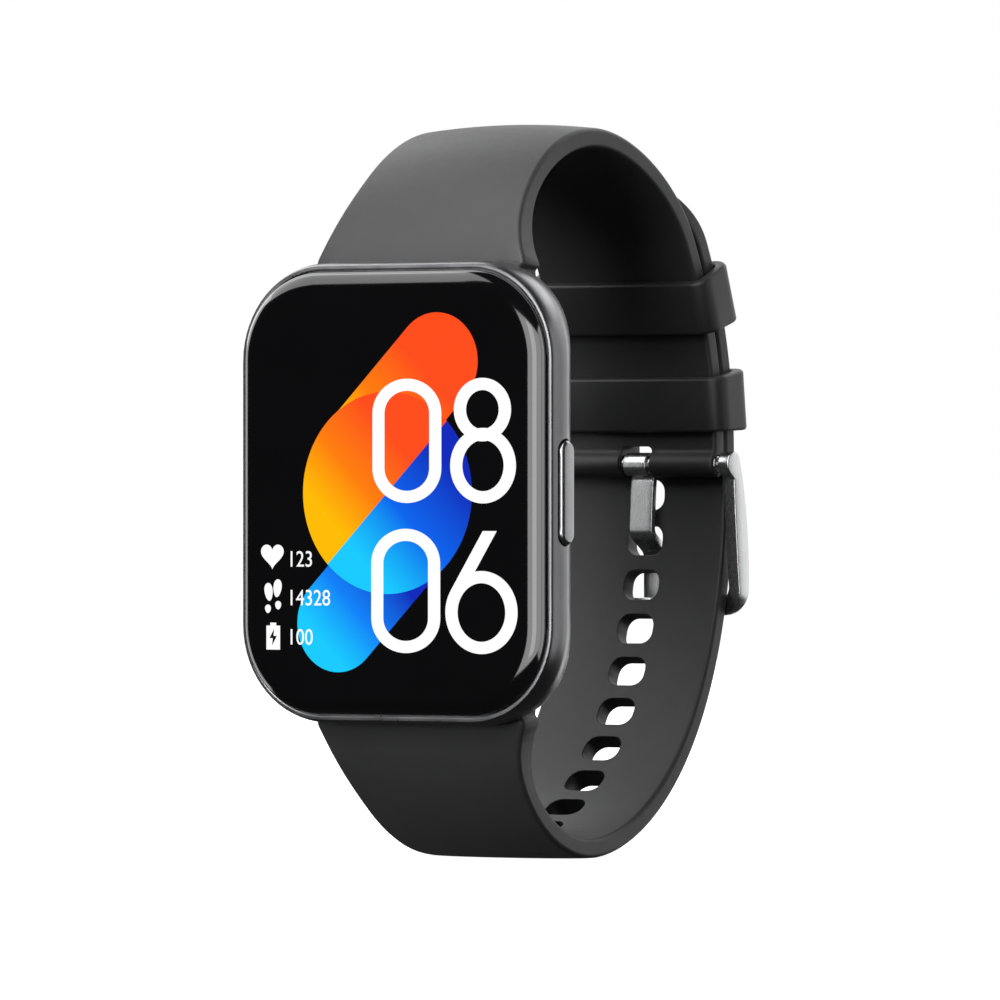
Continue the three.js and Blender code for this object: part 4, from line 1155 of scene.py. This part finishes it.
LEAN = -0.2  # angle at which a strap leaves the case, towards the display
LOOP_TOP = 33.8  # half the loop's height, to the middle of the strap
UPPER_CREST_Y, LOWER_CREST_Y = 11.7, 11
SHOULDER = math.radians(30)
CROSSING = math.radians(0.9)
TAIL_TIP = math.radians(37.8)
strap_end = math.asin((HINGE[1] - ARC_CENTRE[1]) / BACK_RADIUS)
start = (math.sin(LEAN), math.cos(LEAN))
meet = back_arc(BACK_RADIUS, SHOULDER, SHOULDER)[0]
crest = (UPPER_CREST_Y, LOOP_TOP)
upper_line = Line(
    np.concatenate(
        [
            bezier((BAR_Y, BAR_Z), start, 6.4, crest, (1, 0), 9.6),
            bezier(crest, (1, 0), 6.3, meet, (math.sin(SHOULDER), -math.cos(SHOULDER)), 5.7),
            back_arc(BACK_RADIUS, SHOULDER, strap_end),
        ]
    ),
    1,
)
start = (math.sin(LEAN), -math.cos(LEAN))
meet = back_arc(OUTER_RADIUS, CROSSING, CROSSING)[0]
crest = (LOWER_CREST_Y, -LOOP_TOP)
lower_line = Line(
    np.concatenate(
        [
            bezier((BAR_Y, -BAR_Z), start, 6.8, crest, (1, 0), 8.5),
            bezier(crest, (1, 0), 9, meet, (-math.sin(CROSSING), math.cos(CROSSING)), 29.9),
            back_arc(OUTER_RADIUS, CROSSING, TAIL_TIP),
        ]
    ),
    -1,
)


def ease(s, first, last):
    """From first to last between the wide run and the taper's end, by a smooth step."""
    share = np.clip((s - WIDE_RUN) / (TAPER_RUN - WIDE_RUN), 0, 1)
    return first + (last - first) * share**2 * (3 - 2 * share)


def soft_max(a, b, soft):
    """The larger of two values, with the change from one to the other rounded off."""
    return 0.5 * (a + b + np.sqrt((a - b) ** 2 + soft**2))


def plate_along(line, s, half, low, high, edge, columns=14, steps=6, crowned=0.0):
    """A plate with rounded edges along a line. Each station is a rounded rectangle, half wide
    and from low to high towards the wrist; its edge rounding follows the outline in plan, so a
    half-width that runs out to nothing leaves a rounded tip. crowned lifts the outer face by
    that much along its middle, falling off with the square of the place across."""
    slope = np.gradient(half, s)
    stretch = np.sqrt(1 + slope**2)
    out_x, out_s = 1 / stretch, -slope / stretch
    middle, thick = (low + high) / 2, (high - low) / 2
    edge = np.minimum(edge, thick * 0.9)  # thin places keep a little of their flat side
    angle = np.linspace(0, QUARTER, steps)
    drawn_in = edge[:, None] * (1 - np.cos(angle))
    lift = thick[:, None] - edge[:, None] + edge[:, None] * np.sin(angle)
    side_x = np.maximum(half[:, None] - drawn_in * out_x[:, None], 0)
    side_s = s[:, None] - drawn_in * out_s[:, None]
    across = np.linspace(1, -1, columns + 1)[1:-1]
    flat_x = side_x[:, -1:] * across
    flat_s = np.repeat(side_s[:, -1:], len(across), 1)
    flat_v = np.repeat(lift[:, -1:], len(across), 1)
    x = np.concatenate([side_x, flat_x, -side_x[:, ::-1], -side_x, -flat_x, side_x[:, ::-1]], 1)
    along = np.concatenate([side_s, flat_s, side_s[:, ::-1], side_s, flat_s, side_s[:, ::-1]], 1)
    v = np.concatenate([lift, flat_v, lift[:, ::-1], -lift, -flat_v, -lift[:, ::-1]], 1)
    arch = np.clip(1 - (x / np.maximum(half, 1e-3)[:, None]) ** 2, 0, 1)
    v = v - np.where(v < 0, arch, 0) * np.broadcast_to(crowned, s.shape)[:, None]
    return skin(line.locate(x, along, v + middle[:, None]))


def through_cutter(line, s0, points, out, low, high, edge):
    """A hole through a strap: an outline of (x, s) points about s0 that widens along a quarter
    circle at both faces. low and high give the faces at a distance; low may be None for a hole
    that starts on the line itself."""
    below, wider = flare_steps(edge)
    rings = []

    def ring(grow, level):
        grown = points + out * grow
        s = grown[:, 1] + s0
        rings.append(line.locate(grown[:, 0], s, level(s)))

    if low is None:
        ring(0, lambda s: 0 * s)
    else:
        ring(edge, lambda s: low(s) - 1)
        for depth, wide in zip(below[::-1], wider[::-1]):
            ring(wide, lambda s, depth=depth: low(s) + depth)
    for depth, wide in zip(below, wider):
        ring(wide, lambda s, depth=depth: high(s) - depth)
    ring(edge, lambda s: high(s) + 1)
    return loose("through_cutter", *skin(np.array(rings)))


def rounded_outline(half_x, half_s, corner, steps=6, straight=4):
    """A rounded rectangle as (x, s) points with their outward directions."""
    ring = rounded_rings(half_x, half_s, corner, 0, steps, straight)[0][:, [0, 2]]
    inner = np.clip(ring, [corner - half_x, corner - half_s], [half_x - corner, half_s - corner])
    out = ring - inner
    return ring, out / np.linalg.norm(out, axis=1, keepdims=True)


def bar_bore(y, z):
    """The bore for a spring bar."""
    return drill(BAR_BORE, -BORE_HALF, BORE_HALF, y, z)


def strap_thick(s):
    """Half the strap's thickness, with the barrel round the spring bar at the case end."""
    barrel = np.sqrt(np.maximum(BARREL**2 - s**2, 0))
    body = ease(s, STRAP_END_THICK / 2, STRAP_THICK / 2)
    return np.where(s < 0, barrel, soft_max(barrel, body, 0.25 * np.clip(s, 0, 1)))


def strap_half(s):
    """Half the strap's width: full in the case, a short shoulder just outside it, then fading
    exponentially to the even width."""
    end = POCKET_HALF - POCKET_GAP - STRAP_HALF
    out = np.clip((s - 2.0) / 0.5, 0, 1)
    shoulder = out**2 * (3 - 2 * out) * np.exp(-np.maximum(s - 2.5, 0) / SHOULDER_FADE)
    fade = np.exp(-np.maximum(s - WIDE_RUN, 0) / TAPER_FADE)
    return STRAP_HALF + end * fade + SHOULDER_OUT * shoulder


def crown(s, stop):
    """Extra thickness of the outer face along its middle, rising and falling by smooth steps."""
    rise = np.clip((s - WIDE_RUN) / CROWN_RISE, 0, 1)
    fall = np.clip((stop - s) / CROWN_FALL, 0, 1)
    return CROWN * rise**2 * (3 - 2 * rise) * fall**2 * (3 - 2 * fall)


def knob_window(line):
    """The window on the wrist side for the quick-release knob, with room for its travel."""
    points, out = rounded_outline(1.25, 0.65, 0.4)
    return through_cutter(line, 0.0, points + [9.05, 0], out, None, strap_thick, 0.15)


case_end = -BARREL * np.cos(np.linspace(0, QUARTER, 12))[:-1]
FIRST_RUN = np.concatenate([np.arange(0, 1.9, 0.6), np.linspace(2.0, 4.4, 14)])
EDGE = 0.42


def upper_strap():
    """The short strap: it ends in a barrel round the buckle bar, flush with its outer face."""
    inset, radius = 0.35, 1.25
    end = upper_line.length
    turn = radius * np.sin(np.linspace(0, QUARTER, 12))
    middle, last = np.arange(4.8, end - 2.4, 0.6), np.linspace(end - 2.3, end, 10)
    s = np.concatenate([case_end, FIRST_RUN, middle, last, end + turn[1:]])
    drop = np.sqrt(np.maximum(radius**2 - (s - end) ** 2, 0))
    low = np.where(s > end, inset - drop, -strap_thick(s))
    body = np.where(s > end, inset + drop, strap_thick(s))
    blended = soft_max(body, inset + drop, 0.2 * (end - s) / radius)
    high = np.where((s > end - radius) & (s <= end), blended, body)
    arch = crown(s, 50)
    faces = plate_along(upper_line, s, strap_half(s), low, high, EDGE, crowned=arch)
    slot_half, slot_start, least = 2.9, 1.75, 0.4
    points, out = rounded_outline(1.7, slot_half, 0.5)

    def face(side, level):
        """The height of a face: the strap's own, then the barrel circle, kept off its line."""

        def read(distance):
            held = np.sqrt(np.maximum(radius**2 - (distance - end) ** 2, least**2))
            return np.where(distance > end, inset + side * held, np.interp(distance, s, level))

        return read

    place = end + slot_half - slot_start
    slot = through_cutter(upper_line, place, points, out, face(-1, low), face(1, high), 0.12)
    return faces, [knob_window(upper_line), bar_bore(BAR_Y, BAR_Z), bar_bore(*HINGE), slot]


def lower_strap():
    """The long strap: a row of holes and a round tip, a superellipse of power 2.2."""
    tip_run, power = 7.8, 2.2
    tail = lower_line.length - tip_run
    turn = np.linspace(0, QUARTER, 26)
    tip = tail + tip_run * np.sin(turn) ** (2 / power)
    s = np.concatenate([case_end, FIRST_RUN, np.arange(4.8, tail - 0.3, 0.6), tip])
    run = np.clip((s - tail) / tip_run, 0, 1)
    half = np.where(run > 0, STRAP_HALF * (1 - run**power) ** (1 / power), strap_half(s))
    thick = strap_thick(s)
    arch = crown(s, 48)
    faces = plate_along(lower_line, s, half, -thick, thick, EDGE, crowned=arch)
    cutters = [knob_window(lower_line), bar_bore(BAR_Y, -BAR_Z)]
    points, out = rounded_outline(HOLE_WIDE / 2, HOLE_LONG / 2, HOLE_CORNER)
    buckled = lower_line.distance_at(BUCKLED_Z)
    for index in range(-HOLES_BELOW, HOLES_ABOVE + 1):
        place = buckled + index * HOLE_PITCH
        faces_at = (lambda s: -strap_thick(s), strap_thick)
        cutters.append(through_cutter(lower_line, place, points, out, *faces_at, HOLE_FLARE))
    return faces, cutters


for end, strap in (("upper", upper_strap), ("lower", lower_strap)):
    shape, cutters = strap()
    put(
        f"strap_{end}",
        shape,
        strap_finish,
        "watch",
        [f"{end}_strap"],
        cuts=cutters,
        sharp=40,
        even=True,
    )


# ------------------------------------------------------------------ keepers


def keeper_shape(middle_angle):
    """A band round both straps: a rounded wall section carried round a rounded rectangle that
    is bent along the back arc."""
    gap, side_wall, wall, length = 0.12, 1.2, 1.0, 5.5
    inside = BACK_RADIUS - STRAP_THICK / 2 - gap
    outside = OUTER_RADIUS + STRAP_THICK / 2 + gap
    half_x, half_r = STRAP_HALF + gap + 0.08, (outside - inside) / 2
    inner = rounded_rings(half_x, half_r, 0.55, 0, 10, 6)[0][:, [0, 2]]
    outer = rounded_rings(half_x + side_wall, half_r + wall, 1.75, 0, 10, 6)[0][:, [0, 2]]
    edge = 0.32
    turn = np.linspace(0, QUARTER, 5)
    thick = 0.5 * (side_wall + wall)
    rows = []
    for sign_u, sign_w in ((1, 1), (-1, 1), (-1, -1), (1, -1)):
        along_u, along_w = (np.sin(turn), np.cos(turn))[:: sign_u * sign_w]
        u = 0.5 + sign_u * (0.5 - edge / thick * (1 - along_u))
        w = sign_w * (length / 2 - edge * (1 - along_w))
        rows.append(np.stack([u, w], -1)[::-1])
    section = np.concatenate(rows)
    u, w = section[:, 0][None, :, None], section[:, 1][None, :]
    flat = inner[:, None, :] + (outer - inner)[:, None, :] * u
    angle = middle_angle + w / BACK_RADIUS
    radius = (inside + outside) / 2 + flat[..., 1]
    y = ARC_CENTRE[0] + radius * np.cos(angle)
    z = ARC_CENTRE[1] + radius * np.sin(angle)
    return skin(np.stack([flat[..., 0], y, z], -1), joined=True)


for kind, body, degrees in (("fixed", "watch", 6.7), ("free", "free_keeper", 20.6)):
    put(
        f"keeper_{kind}",
        keeper_shape(math.radians(degrees)),
        keeper_finish,
        body,
        [f"{kind}_keeper"],
        sharp=50,
    )


# ------------------------------------------------------------------ buckle


def outer_face_y(z):
    """Y of the long strap's outer face at a height."""
    place, inward = lower_line.read(np.array([lower_line.distance_at(z)]))
    return float((place - inward * STRAP_THICK / 2)[0, 0])


FOOT = HINGE[1] - FRAME_REACH
FAR_Z = FOOT + FAR_BAR_HEIGHT / 2
FAR_Y = outer_face_y(FAR_Z) + FAR_BAR_GAP


def frame_shape():
    """The buckle frame: a rounded section carried down one arm, round the far bar and up the
    other. In side view each arm is a blade that narrows from a round ear to the far bar."""
    ear_y, ear_z = HINGE
    shoulder = math.radians(37.2)
    t = np.linspace(0, 1, 200)[:, None]

    def curve(a, b, c):
        return (1 - t) ** 2 * np.array(a) + 2 * t * (1 - t) * np.array(b) + t**2 * np.array(c)

    ear_back = (ear_y + EAR * math.cos(shoulder), ear_z + EAR * math.sin(shoulder))
    bar_back = FAR_Y + FAR_BAR_DEPTH
    back = curve((bar_back, FOOT), (bar_back + 0.5, ear_z - 5.8), ear_back)
    heel = (FAR_Y - 0.7, FOOT + 1.3)
    front = np.concatenate(
        [
            curve((FAR_Y + 0.1, FOOT), (FAR_Y - 0.6, FOOT), heel)[:-1],
            curve(heel, (ear_y + 0.35, ear_z - 7), (ear_y, ear_z - EAR)),
        ]
    )
    corner = 1.9
    middle_x = ARM_INNER + ARM_WIDTH / 2
    turn = np.linspace(0, QUARTER, 14)
    ear_turn = np.linspace(QUARTER, 0, 18)
    arm_run = np.linspace(ear_z, FAR_Z + corner, 34)[1:]
    arm_z = np.concatenate([ear_z + EAR * np.sin(ear_turn), arm_run])
    corner_x = middle_x - corner + corner * np.cos(turn)
    corner_z = FAR_Z + corner - corner * np.sin(turn)
    bar_x = np.linspace(middle_x - corner, 0, 16)[1:]
    x = np.concatenate([np.full_like(arm_z, middle_x), corner_x[1:], bar_x])
    z = np.concatenate([arm_z, corner_z[1:], np.full_like(bar_x, FAR_Z)])
    out_x = np.concatenate([np.ones_like(arm_z), np.cos(turn[1:]), 0 * bar_x])
    out_z = np.concatenate([0 * arm_z, -np.sin(turn[1:]), -np.ones_like(bar_x)])
    swell = np.concatenate([0 * arm_z, np.sin(turn[1:]), np.ones_like(bar_x)])
    half = ARM_WIDTH / 2 + (FAR_BAR_HEIGHT - ARM_WIDTH) / 2 * swell
    round_ear = np.sqrt(np.maximum(EAR**2 - (z - ear_z) ** 2, 0))
    back_y = np.where(z > ear_back[1], ear_y + round_ear, np.interp(z, back[:, 1], back[:, 0]))
    blade = np.interp(z, front[:, 1], front[:, 0])
    front_y = np.where(z > ear_z - EAR, ear_y - round_ear, blade)
    bar_share = np.clip(np.abs(middle_x - x) / corner, 0, 1)
    near_bar = np.where(z < ear_z - 8, bar_share**2 * (3 - 2 * bar_share), 0)
    front_y = front_y + (FAR_Y - front_y) * near_bar

    def mirrored(values, sign=1):
        return np.concatenate([values, sign * values[-2::-1]])

    x, out_x = mirrored(x, -1), mirrored(out_x, -1)
    z, out_z, half, front_y, back_y = map(mirrored, (z, out_z, half, front_y, back_y))
    edge = np.minimum(0.2, (back_y - front_y) * 0.45)[:, None]
    angle = np.linspace(0, QUARTER, 5)
    rise = edge * (1 - np.sin(angle))
    draw = edge * (1 - np.cos(angle))
    wide = half[:, None] - draw
    u = np.concatenate([wide, -wide[:, ::-1], -wide, wide[:, ::-1]], 1)
    y_back, y_front = back_y[:, None] - rise, front_y[:, None] + rise
    y = np.concatenate([y_back, y_back[:, ::-1], y_front, y_front[:, ::-1]], 1)
    x, z = x[:, None] + out_x[:, None] * u, z[:, None] + out_z[:, None] * u
    return skin(np.stack([x, y, z], -1))


put(
    "buckle_body",
    frame_shape(),
    steel_finish,
    "buckle",
    ["buckle_frame"],
    sharp=40,
)

TONGUE_THICK = 0.75
TONGUE_HALF = 1.3


def tongue_shape():
    """The tongue: a strip rolled round the bar, flat against the strap's wrist side, out
    through the hole in use and down over the far bar, with a rounded tip."""
    play = 0.25
    ear_y, ear_z = HINGE
    over = FAR_Y + FAR_BAR_DEPTH + TONGUE_THICK / 2 + 0.08

    def inner(z):
        return outer_face_y(z) - STRAP_THICK - TONGUE_THICK / 2 - play

    roll = 1.01
    knee = BUCKLED_Z + 0.75
    start = math.radians(255)
    turn = np.linspace(start, 0.0, 120)
    rolled = np.stack([ear_y + roll * np.cos(turn), ear_z + roll * np.sin(turn)], -1)
    knees = np.array(
        [
            [ear_y + roll, ear_z],
            [inner(ear_z - 2.2), ear_z - 2.2],
            [inner(knee), knee],
            [over - 0.05, knee - 1.75],
            [over, ear_z - FRAME_REACH - 0.15],
        ]
    )
    parts = [rolled]
    for before, point, after, bend in zip(knees, knees[1:], knees[2:], (0.9, 0.7, 0.7)):
        first = point + (before - point) / np.linalg.norm(before - point) * bend
        last = point + (after - point) / np.linalg.norm(after - point) * bend
        t = np.linspace(0, 1, 30)[:, None]
        parts.append((1 - t) ** 2 * first + 2 * t * (1 - t) * point + t**2 * last)
    parts.append(knees[-1:])
    line = Line(np.concatenate(parts), -1)
    rolled_length = roll * start
    tip = 1.3
    turn = np.linspace(0, QUARTER, 14)
    straight = line.length - tip
    s = np.concatenate([np.linspace(0, straight, 130)[:-1], straight + tip * np.sin(turn)])
    run = np.clip((s - straight) / tip, 0, 1)
    half = TONGUE_HALF * np.sqrt(np.maximum(1 - run**2.4, 0)) ** 0.8
    share = np.clip((s - rolled_length) / 1.8, 0, 1)
    thick = 0.15 + (TONGUE_THICK / 2 - 0.15) * share**2 * (3 - 2 * share)
    return plate_along(line, s, half, -thick, thick, 0.13, 4, 5)


put(
    "tongue_strip",
    tongue_shape(),
    steel_finish,
    "tongue",
    ["buckle_tongue"],
    sharp=40,
)


# ------------------------------------------------------------------ spring bars

KNOB_X = POCKET_HALF - 1.9
TUBE_SHORT = 0.5


def spring_bar(name, place, wall, body, knob):
    """A spring bar's tube and its sprung pin, with a knob on a quick-release one."""
    y, z = place
    tube_end = wall - TUBE_SHORT
    cuts = []
    if knob:
        rings = rounded_rings(1.1, 0.42, 0.3, [y, y + 2], 5, 2) + [KNOB_X - 0.65, 0, z]
        cuts = [loose("knob_slot", *skin(rings))]
    tube = turned(rod_profile(TUBE, -tube_end, tube_end, 0.12), "x", (0, y, z), 48)
    stands_for = [f"{name}_tube"]
    put(f"{name}_sleeve", tube, bar_finish, "watch", stands_for, cuts=cuts)
    head_end = tube_end - 0.35
    tip = wall + 1.1
    foot = [[ON_AXIS, head_end - 0.4], [0.38, head_end - 0.4]]
    nose = arc_profile((0.26, tip - 0.12), 0.12, 0, QUARTER, 5)
    pin = turned(np.concatenate([foot, nose, [[ON_AXIS, tip]]]), "x", (0, y, z), 32)
    put(f"{name}_plunger", pin, bar_finish, body, [f"{name}_pin"])
    if knob:
        post = rod_profile(0.36, y + 0.5, y + BARREL + 0.2, 0.14, 6)
        knob = turned(post, "y", (KNOB_X, 0, z), 32)
        put(f"{name}_knob", knob, bar_finish, body)


spring_bar("upper_bar", (BAR_Y, BAR_Z), POCKET_HALF, "upper_release", True)
spring_bar("lower_bar", (BAR_Y, -BAR_Z), POCKET_HALF, "lower_release", True)
spring_bar("buckle_bar", HINGE, ARM_INNER, "buckle_tip", False)


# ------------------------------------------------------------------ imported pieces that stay

finished = (
    (rubber_finish, "back_gasket", "button_seal"),
    (circuit_finish, "sensor_board", "main_board"),
    (led_finish, "optical_led_upper", "optical_led_lower"),
    (chip_finish, "photodiode", "antenna_chip"),
    (inner_finish, "glass_adhesive", "inner_bracket", "switch_plunger"),
    (panel_finish, "display_panel"),
    (film_finish, "display_flex"),
    (shield_finish, "shield_can", "tact_switch", "vibration_motor"),
    (foil_finish, "battery"),
)
finish_of = {node: finish for finish, *nodes in finished for node in nodes}
for name, node in frame["nodes"].items():
    finish = finish_of.get(name, bar_finish)
    if node.material_slots:
        for slot in node.material_slots:
            slot.link = "OBJECT"
            slot.material = finish.material
    else:
        node.data.materials.append(finish.material)


# ------------------------------------------------------------------ floor and light

floor_z = cad_low.z / MM - 0.05
angle = np.linspace(0, 2 * math.pi, 96, endpoint=False)
rim = np.stack([np.cos(angle), np.sin(angle), 0 * angle], -1)
floor_rings = np.array([rim * 20, rim * 400, rim * 2500]) + [0, 12, floor_z]
points, faces = skin(floor_rings, capped=False)
faces.append(list(range(len(angle))))
floor = bpy.data.objects.new("floor", bpy.data.meshes.new("floor"))
floor.data.from_pydata((points * MM).tolist(), [], faces)
bpy.context.scene.collection.objects.link(floor)
floor_finish = Finish("floor_paper_painted_shadow", (0.5, 0.5, 0.5), 0.9, Specular_IOR_Level=0.0)
floor_finish.put("Emission Color", (1, 1, 1, 1))
# Painted shadow: the floor's emission strength is 0.9 near the watch's middle and rises to 1.0
# between 30 and 160 mm out, a darker patch round the watch's foot on the otherwise evenly white
# floor.
away = floor_finish.node("ShaderNodeVectorMath", operation="LENGTH")
fade = floor_finish.node("ShaderNodeMapRange")
for socket, value in (("From Min", 30), ("From Max", 160), ("To Min", 0.9), ("To Max", 1.0)):
    fade.inputs[socket].default_value = value
floor_finish.link(floor_finish.place(), away.inputs[0])
floor_finish.link(away.outputs["Value"], fade.inputs["Value"])
floor_finish.link(fade.outputs["Result"], floor_finish.surface.inputs["Emission Strength"])
floor.data.materials.append(floor_finish.material)
floor.visible_glossy = False
floor.visible_diffuse = False


def soft_box(name, azimuth, elevation, distance, width, height, glow):
    """A rectangular soft light of an even glow that faces the middle of the watch. Azimuth 0 is
    in front of the display and 90 on the button side."""
    lamp = bpy.data.lights.new(name, "AREA")
    lamp.shape = "RECTANGLE"
    lamp.size, lamp.size_y = width, height
    lamp.energy = glow * math.pi * width * height
    made = bpy.data.objects.new(name, lamp)
    a, e = math.radians(azimuth), math.radians(elevation)
    away = Vector((math.sin(a) * math.cos(e), -math.cos(a) * math.cos(e), math.sin(e)))
    middle = Vector((0, 0.01, 0))
    made.location = middle + away * distance
    made.rotation_euler = away.to_track_quat("Z", "Y").to_euler()
    made.visible_camera = False
    bpy.context.scene.collection.objects.link(made)
    return made


def shine_on(lamp, state, *names):
    """Limits a light to the named pieces, or keeps it off them: INCLUDE or EXCLUDE."""
    chosen = bpy.data.collections.new(lamp.name)
    for name in names:
        chosen.objects.link(bpy.data.objects[name])
    lamp.light_linking.receiver_collection = chosen
    for linked in chosen.collection_objects:
        linked.light_linking.link_state = state


# name, azimuth, elevation, distance, width, height, glow, and what it is kept to or kept off
lamps = (
    ("overhead", -14, 52, 0.8, 1.0, 0.9, 3.4, "EXCLUDE", "front_glass"),
    ("side_dim", 112, 3, 0.8, 0.6, 0.9, 0.8),
    ("behind", 176, 12, 0.9, 1.4, 1.1, 1.25),
    ("behind_top", 178, 40, 0.9, 0.8, 0.3, 1.6),
    ("rim_light", 34, 3, 0.9, 0.4, 0.9, 2.6),
    ("strip_left", -118, 32, 0.8, 0.5, 0.8, 2.4),
    ("front_fill", -4, 12, 0.9, 0.6, 0.6, 7.5, "EXCLUDE", "front_glass"),
    ("steel_fill", -34, 0, 0.9, 0.6, 0.6, 0.55, "INCLUDE", "tongue_strip"),
    ("glass_right", 40, 0, 0.8, 1.5, 1.0, 4.0, "INCLUDE", "front_glass"),
    ("glass_side", 112, 0, 0.8, 0.9, 1.0, 2.6, "INCLUDE", "front_glass"),
    ("glass_top", -66, 44, 0.8, 0.8, 0.6, 2.6, "INCLUDE", "front_glass"),
    ("glass_left", -95, 0, 0.8, 0.4, 0.8, 2.2, "INCLUDE", "front_glass"),
)
for name, azimuth, elevation, distance, width, height, glow, *limit in lamps:
    lamp = soft_box(name, azimuth, elevation, distance, width, height, glow)
    if limit:
        shine_on(lamp, *limit)
bpy.data.objects["rim_light"].visible_diffuse = False  # it only adds gloss

world = bpy.data.worlds.new("studio")
bpy.context.scene.world = world
world.use_nodes = True
tree = world.node_tree
shade = tree.nodes["Background"]
shade.inputs["Strength"].default_value = 1.0
paper = tree.nodes.new("ShaderNodeBackground")
paper.inputs["Color"].default_value = (1, 1, 1, 1)
shade.inputs["Color"].default_value = (0.03, 0.03, 0.031, 1)
path = tree.nodes.new("ShaderNodeLightPath")
choose = tree.nodes.new("ShaderNodeMixShader")
tree.links.new(path.outputs["Is Camera Ray"], choose.inputs[0])
tree.links.new(shade.outputs[0], choose.inputs[1])
tree.links.new(paper.outputs[0], choose.inputs[2])
tree.links.new(choose.outputs[0], tree.nodes["World Output"].inputs["Surface"])
bpy.context.scene.view_settings.view_transform = "Standard"
